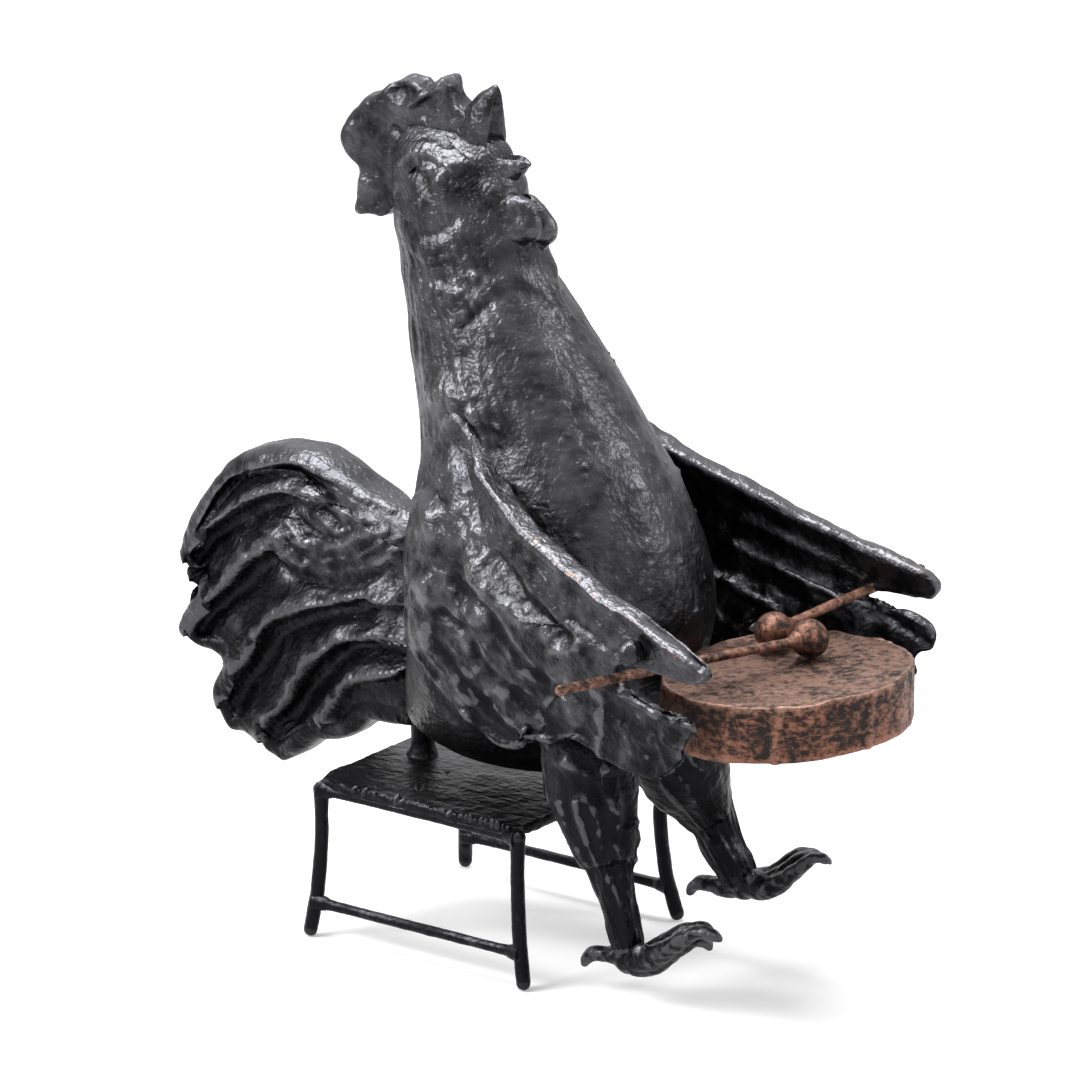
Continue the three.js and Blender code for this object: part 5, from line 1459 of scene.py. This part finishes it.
def make_seat_plate(bench):
    """A slab: a rounded square drawn in to the middle above and below, with an edge worn uneven."""
    x, y, z = mm(bench.seat_length) / 2, mm(bench.seat_width) / 2, mm(bench.seat_height)
    thickness = mm(bench.seat_thickness)
    turn = around(720)
    reach = np.abs(np.cos(turn) / x) ** SEAT_SQUARENESS + np.abs(np.sin(turn) / y) ** SEAT_SQUARENESS
    reach = reach ** (-1 / SEAT_SQUARENESS)
    loop = np.stack([reach * np.cos(turn), reach * np.sin(turn)], -1)
    half = thickness / 2 + 0.15
    profile = [(grow, half) for grow in np.linspace(0.02, 0.985, 66)]
    over = np.linspace(0, np.pi, 15)
    profile += [(1 - SEAT_EDGE * (1 - math.sin(a)) / x, half * math.cos(a)) for a in over]
    profile += [(grow, -half) for grow in np.linspace(0.985, 0.02, 40)]
    rows = [np.column_stack([loop * grow, np.full(len(turn), rise)]) for grow, rise in profile]
    skin = Skin(np.array(rows)[::-1])
    skin.points += [-SEAT_SETBACK, 0, z - thickness / 2]
    inset = np.minimum(x - np.abs(skin.points[..., 0] + SEAT_SETBACK), y - np.abs(skin.points[..., 1]))
    edgeness = smoothstep(1.6, 0.1, inset)
    skin.push(edgeness * (0.3 * rumple(skin.points, 2.4, 111) + 0.12 * rumple(skin.points, 1.0, 112)))
    skin.lumps((0.1, 7, 113), (0.03, 2.4, 114))
    scrapes = rumple(skin.points * [0.25, 2.2, 1], 1.6, 115)
    skin.push(-0.06 * np.clip(scrapes, 0, 1))
    skin.carve(SEAT_PITS)
    broken = smoothstep(0.0, 0.5, rumple(skin.points, 2.2, 116))
    skin.worn = smoothstep(0.75, 1.0, edgeness) * smoothstep(-0.2, 0.5, skin.normals()[..., 2]) * broken * 0.8
    return skin


# Settings
def length_setting(name, description, size):
    """A length to set, with its default in millimetres."""
    return FloatProperty(name=name, description=description, default=size * MM, min=0.0, unit="LENGTH")


def colour_setting(name, description, default):
    """A colour to set, with its default as an sRGB hex colour."""
    return FloatVectorProperty(
        name=name, description=description, default=linear(default), min=0.0, max=1.0, subtype="COLOR", size=3
    )


class ROOSTER_PG_finish(bpy.types.PropertyGroup):
    # the deep patina is real in the hollows, and is painted shade on the low parts
    deep: colour_setting("Deep patina", "Blackened bronze in hollows and low parts", "#18181a")
    # the raised patina is also the painted highlight on what faces up
    high: colour_setting("Raised patina", "Blackened bronze that hands and dust have made lighter", "#5e5e62")
    # the edge grey is partly rubbed metal and partly a painted highlight on the sharpest edges
    edge: colour_setting("Edges", "The sharpest edges of the bronze", "#6c6b6e")
    bare: colour_setting("Bare bronze", "Bronze where the black is rubbed off", "#b9754c")
    copper: colour_setting("Rubbed copper", "Copper where the rag reached most", "#987e72")
    copper_dark: colour_setting("Dull copper", "Copper where the rag reached least", "#7e5442")
    soot: colour_setting("Copper specks", "Black left in the grain of the copper", "#241e1c")


class ROOSTER_PG_bench(bpy.types.PropertyGroup):
    seat_height: length_setting("Seat height", "From the floor to the top of the seat", 28.5)
    seat_length: length_setting("Seat length", "From front to rear", 44.2)
    seat_width: length_setting("Seat width", "From side to side", 43)
    seat_thickness: length_setting("Seat thickness", "Of the plate", 1.4)
    leg: length_setting("Leg thickness", "Across the rod of a leg", 2.45)
    foot_length: length_setting("Feet front to rear", "Between the middles of the front and rear feet", 46.4)
    foot_width: length_setting("Feet side to side", "Between the middles of the right and left feet", 44.6)
    bead_spacing: length_setting("Bead spacing", "Distance between beads of spilt metal", 1.1)


class ROOSTER_PG_drum(bpy.types.PropertyGroup):
    radius: length_setting("Radius", "From the drum's axis to its wall", 21.4)
    depth: length_setting("Depth", "From the top of the drum to its bottom", 10.2)
    top: length_setting("Height of the top", "From the floor to the middle of the drum's top", 60)
    ball: length_setting("Ball radius", "Radius of the balls of the mallets", 3.3)


class ROOSTER_PG_stage(bpy.types.PropertyGroup):
    key_power: FloatProperty(
        name="Key light", description="Power of the large soft lamp", default=4.9, min=0.0, unit="POWER"
    )
    lens: FloatProperty(
        name="Lens", description="Focal length of the camera", default=500.0, min=50.0, unit="CAMERA"
    )
    paper: colour_setting("Paper", "The floor", "#e9e9e9")


class ROOSTER_PG_settings(bpy.types.PropertyGroup):
    finish: PointerProperty(type=ROOSTER_PG_finish, name="Finish", description="Colours of the metals")
    bench: PointerProperty(type=ROOSTER_PG_bench, name="Bench", description="Sizes of the bench")
    drum: PointerProperty(type=ROOSTER_PG_drum, name="Drum", description="Sizes of the drum and the mallets")
    stage: PointerProperty(type=ROOSTER_PG_stage, name="Stage", description="Camera, lamps and floor")


# Steps of the build
def dress(node, skin):
    """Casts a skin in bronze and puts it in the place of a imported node."""
    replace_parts(cast("rooster_" + node, [skin], metal("blackened_cast_bronze")), node)


class ROOSTER_OT_trunk(bpy.types.Operator):
    """Body and head, sculpted as one skin that parts at the throat"""

    bl_idname = "rooster.trunk"
    bl_label = "Body and head"
    bl_options = {"REGISTER", "UNDO"}

    def execute(self, context):
        dress("body", make_body())
        head = cast("rooster_head", [make_head()], metal("blackened_cast_bronze"))
        add_stipple(head)
        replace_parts(head, "head")
        return {"FINISHED"}


class ROOSTER_OT_face(bpy.types.Operator):
    """Comb, both halves of the beak, and the wattles"""

    bl_idname = "rooster.face"
    bl_label = "Comb, beak and wattles"
    bl_options = {"REGISTER", "UNDO"}

    def execute(self, context):
        dress("comb", make_comb())
        dress("upper_beak", make_upper_beak())
        dress("lower_beak", make_lower_beak())
        for side, name in SIDES:
            dress("wattle_" + name, make_wattle(side))
        return {"FINISHED"}


class ROOSTER_OT_tail(bpy.types.Operator):
    """The fan of plumes"""

    bl_idname = "rooster.tail"
    bl_label = "Tail"
    bl_options = {"REGISTER", "UNDO"}

    def execute(self, context):
        dress("tail", make_tail())
        return {"FINISHED"}


class ROOSTER_OT_wings(bpy.types.Operator):
    """Both wings and the thumbs that hold the mallets"""

    bl_idname = "rooster.wings"
    bl_label = "Wings"
    bl_options = {"REGISTER", "UNDO"}

    def execute(self, context):
        for side, name in SIDES:
            dress("wing_" + name, make_wing(side))
            dress("thumb_" + name, make_thumb(side))
        return {"FINISHED"}


class ROOSTER_OT_legs(bpy.types.Operator):
    """Legs and clawed feet"""

    bl_idname = "rooster.legs"
    bl_label = "Legs and feet"
    bl_options = {"REGISTER", "UNDO"}

    def execute(self, context):
        for side, name in SIDES:
            dress("leg_" + name, make_leg(side))
            foot = settle("rooster_foot_" + name, make_foot(side), metal("blackened_cast_bronze"))
            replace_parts(foot, "foot_" + name)
        return {"FINISHED"}


class ROOSTER_OT_drum(bpy.types.Operator):
    """The drum"""

    bl_idname = "rooster.drum"
    bl_label = "Drum"
    bl_options = {"REGISTER", "UNDO"}

    def execute(self, context):
        skin = make_drum(context.scene.rooster.drum)
        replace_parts(cast("copper_drum", [skin], metal("rubbed_copper_drum")), "drum")
        return {"FINISHED"}


class ROOSTER_OT_mallets(bpy.types.Operator):
    """Both mallets: a hand-rolled stick and a ball with its collar"""

    bl_idname = "rooster.mallets"
    bl_label = "Mallets"
    bl_options = {"REGISTER", "UNDO"}

    def execute(self, context):
        copper = metal("rubbed_copper_mallets")
        tree = cast_rod_tree(copper)
        finish = (ROLLED_WAX, copper, "rubbed_copper", 0.2)
        for _, name in SIDES:
            start, end = mallet_axis(name)
            end = end - (end - start) / np.linalg.norm(end - start) * STICK_END
            line = rod_line([start, (start + end) / 2 + [0, 0, STICK_BOW], end], STICK_RADII)
            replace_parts(grow_on_line("mallet_stick_" + name, tree, line, *finish), "mallet_stick_" + name)
            ball = make_ball(start, mm(context.scene.rooster.drum.ball))
            head = cast("mallet_head_" + name, [ball], copper)
            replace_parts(head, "mallet_head_" + name)
            along = (end - start) / np.linalg.norm(end - start)
            collar = rod_line([start + along * out for out in COLLAR_PLACES], COLLAR_RADII)
            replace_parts(grow_on_line("mallet_collar_" + name, tree, collar, *finish), "mallet_head_" + name)
        return {"FINISHED"}


class ROOSTER_OT_bench(bpy.types.Operator):
    """Seat, rods, posts and the beads of metal spilt along the seat's edges"""

    bl_idname = "rooster.bench"
    bl_label = "Bench"
    bl_options = {"REGISTER", "UNDO"}

    def execute(self, context):
        bench = context.scene.rooster.bench
        bronze = metal("blackened_bronze_rod")
        tree, beads = cast_rod_tree(bronze), weld_bead_tree(bronze)
        height = mm(bench.seat_height)

        def add_rod(name, node, line):
            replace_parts(grow_on_line(name, tree, line, SMOOTH_ROD, bronze), node)

        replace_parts(cast("bench_seat", [make_seat_plate(bench)], bronze), "seat_plate")
        for front, end in ((1, "front"), (-1, "rear")):
            for side, name in SIDES:
                leg = f"bench_leg_{end}_{name}"
                add_rod(leg, leg, leg_line(bench, front, side))
        for side, name in SIDES:
            rail = bar_line(bench, side, 0, height - mm(bench.seat_thickness) - 0.6, RAIL_RADII)
            add_rod("seat_rail_" + name, "seat_rail_" + name, rail)
            stretcher = bar_line(bench, side, 0.5, STRETCHER_HEIGHT, STRETCHER_RADII)
            add_rod("stretcher_" + name, "stretcher_" + name, stretcher)
            # spilt metal lies along the middle part of the seat's edge
            y = side * (mm(bench.seat_width) / 2 - 0.35)
            edge = [((x, y, height - 0.15), 1) for x in np.linspace(-14, 19, 30)]
            spilt = {"Spacing": bench.bead_spacing, "Seed": 5 + side}
            grow_on_line("seat_beads_" + name, beads, edge, spilt, bronze, worn=0.5)
        for end in ("rear", "front"):
            add_rod("seat_post_" + end, "seat_post_" + end, post_line(end, height))
        return {"FINISHED"}


class ROOSTER_OT_stage(bpy.types.Operator):
    """Floor, camera, lamps and surroundings"""

    bl_idname = "rooster.stage"
    bl_label = "Stage"
    bl_options = {"REGISTER", "UNDO"}

    def execute(self, context):
        stage = context.scene.rooster.stage
        make_floor(stage.paper)
        make_camera(stage.lens)
        make_lamps(stage.key_power)
        make_surroundings()
        return {"FINISHED"}


def sees_backdrop(tree):
    """1 for the rays that show the white surroundings: those of the eye, of gloss and through glass."""
    path = add_node(tree, "ShaderNodeLightPath").outputs
    eye_or_gloss = reckon(tree, "MAXIMUM", path["Is Camera Ray"], path["Is Glossy Ray"])
    return reckon(tree, "MAXIMUM", eye_or_gloss, path["Is Transmission Ray"])


FLOOR_REACH = 6  # metres from the middle to each side
FLOOR_LIFT = 0.34  # how much light the paper gives off where the camera sees it


def make_floor(colour_of_paper):
    """Matt white paper. What the camera sees of it is lifted to white, and the shadow stays."""
    material, tree, here = new_material("white_paper")
    tooth = bump(tree, noise(tree, here, 0.6), 0.05, 0.1)
    paper = add_node(tree, "ShaderNodeBsdfDiffuse", {"Color": (*colour_of_paper, 1), "Normal": tooth})
    seen = reckon(tree, "MULTIPLY", sees_backdrop(tree), FLOOR_LIFT)
    lift = add_node(tree, "ShaderNodeEmission", {"Color": (1, 1, 1, 1), "Strength": seen})
    both = add_node(tree, "ShaderNodeAddShader", {0: paper.outputs[0], 1: lift.outputs[0]})
    add_node(tree, "ShaderNodeOutputMaterial", {"Surface": both.outputs[0]})
    mesh = bpy.data.meshes.new("floor")
    corners = [(x * FLOOR_REACH, y * FLOOR_REACH, 0) for x, y in ((-1, -1), (1, -1), (1, 1), (-1, 1))]
    mesh.from_pydata(corners, [], [(0, 1, 2, 3)])
    mesh.materials.append(material)
    place("floor", mesh)


def make_camera(lens):
    """A camera that sees the picture plane: square on to it, and far enough off for its long lens."""
    camera = bpy.data.cameras.new("camera")
    camera.lens = lens
    camera.sensor_width = 36
    camera.clip_end = 100
    middle = PICTURE_SIZE / 2
    aim = (spot(middle, middle, 0.0) + BENCH_MIDDLE) * MM
    aim = aim - TOWARDS_EYE * ((aim - BENCH_MIDDLE * MM) @ TOWARDS_EYE) + TOWARDS_EYE * 0.02
    distance = PICTURE_SIZE / PICTURE_SCALE * MM * lens / camera.sensor_width
    bpy.context.scene.camera = set_facing(place("camera", camera), aim, TOWARDS_EYE, distance)


def set_facing(made, aim, direction, distance):
    """Sets an object some metres off a point in a direction, so that it looks back at the point."""
    made.location = aim + direction * distance
    made.rotation_euler = Vector(direction).to_track_quat("Z", "Y").to_euler()
    return made


# Lamps: name, direction to the right, towards the eye and up, distance and size in metres, share of power
LAMPS = (
    ("key", (-0.9, 0.3, 0.5), 0.7, (0.3, 0.3), 1.0),
    ("overhead", (-0.1, -0.15, 1.0), 0.6, (0.45, 0.4), 1.1),
    ("strip", (0.95, 0.25, 0.5), 0.8, (0.16, 0.4), 0.45),
)
LIT_POINT = (18, 0, 75)  # what the lamps point at, in millimetres from the bench's middle


def make_lamps(power):
    """A big soft lamp from the upper left, a broad one overhead and a strip from the upper right."""
    aim = (np.array(LIT_POINT) + BENCH_MIDDLE) * MM
    for name, (right, near, up), distance, size, share in LAMPS:
        direction = right * RIGHTWARD + near * TOWARDS_EYE + up * np.array([0, 0, 1.0])
        lamp = bpy.data.lights.new(name, "AREA")
        lamp.shape = "RECTANGLE"
        lamp.size, lamp.size_y = size
        lamp.energy = power * share
        set_facing(place(name, lamp), aim, direction / np.linalg.norm(direction), distance)


def make_surroundings():
    """A white room that the eye and gloss see in full, and that lights the rest less."""
    world = bpy.data.worlds.new("studio")
    world.use_nodes = True
    tree = world.node_tree
    tree.nodes.clear()
    strength = spread(tree, sees_backdrop(tree), 0.0, 1.0, 0.35, 1.0)
    sky = add_node(tree, "ShaderNodeBackground", {"Color": (1, 1, 1, 1), "Strength": strength})
    add_node(tree, "ShaderNodeOutputWorld", {"Surface": sky.outputs[0]})
    bpy.context.scene.world = world
    bpy.context.scene.view_settings.view_transform = "Standard"


class ROOSTER_PT_panel(bpy.types.Panel):
    """Lists the steps of the build, and the settings below them"""

    bl_idname = "ROOSTER_PT_panel"
    bl_label = "Drumming rooster"
    bl_space_type = "VIEW_3D"
    bl_region_type = "UI"
    bl_category = "Rooster"

    def draw(self, context):
        for step in STEPS:
            self.layout.operator(step.bl_idname)
        settings = context.scene.rooster
        for group in (settings.finish, settings.bench, settings.drum, settings.stage):
            box = self.layout.box()
            for key in type(group).__annotations__:
                box.prop(group, key)


STEPS = (
    ROOSTER_OT_stage,
    ROOSTER_OT_trunk,
    ROOSTER_OT_face,
    ROOSTER_OT_tail,
    ROOSTER_OT_wings,
    ROOSTER_OT_legs,
    ROOSTER_OT_drum,
    ROOSTER_OT_mallets,
    ROOSTER_OT_bench,
)
GROUPS = (ROOSTER_PG_finish, ROOSTER_PG_bench, ROOSTER_PG_drum, ROOSTER_PG_stage, ROOSTER_PG_settings)
CLASSES = (*GROUPS, *STEPS, ROOSTER_PT_panel)


def register():
    for kind in CLASSES:
        bpy.utils.register_class(kind)
    bpy.types.Scene.rooster = PointerProperty(type=ROOSTER_PG_settings)


def unregister():
    del bpy.types.Scene.rooster
    for kind in reversed(CLASSES):
        bpy.utils.unregister_class(kind)


def main():
    register()
    for step in STEPS:
        group, name = step.bl_idname.split(".")
        getattr(getattr(bpy.ops, group), name)()


if __name__ == "__main__":
    main()
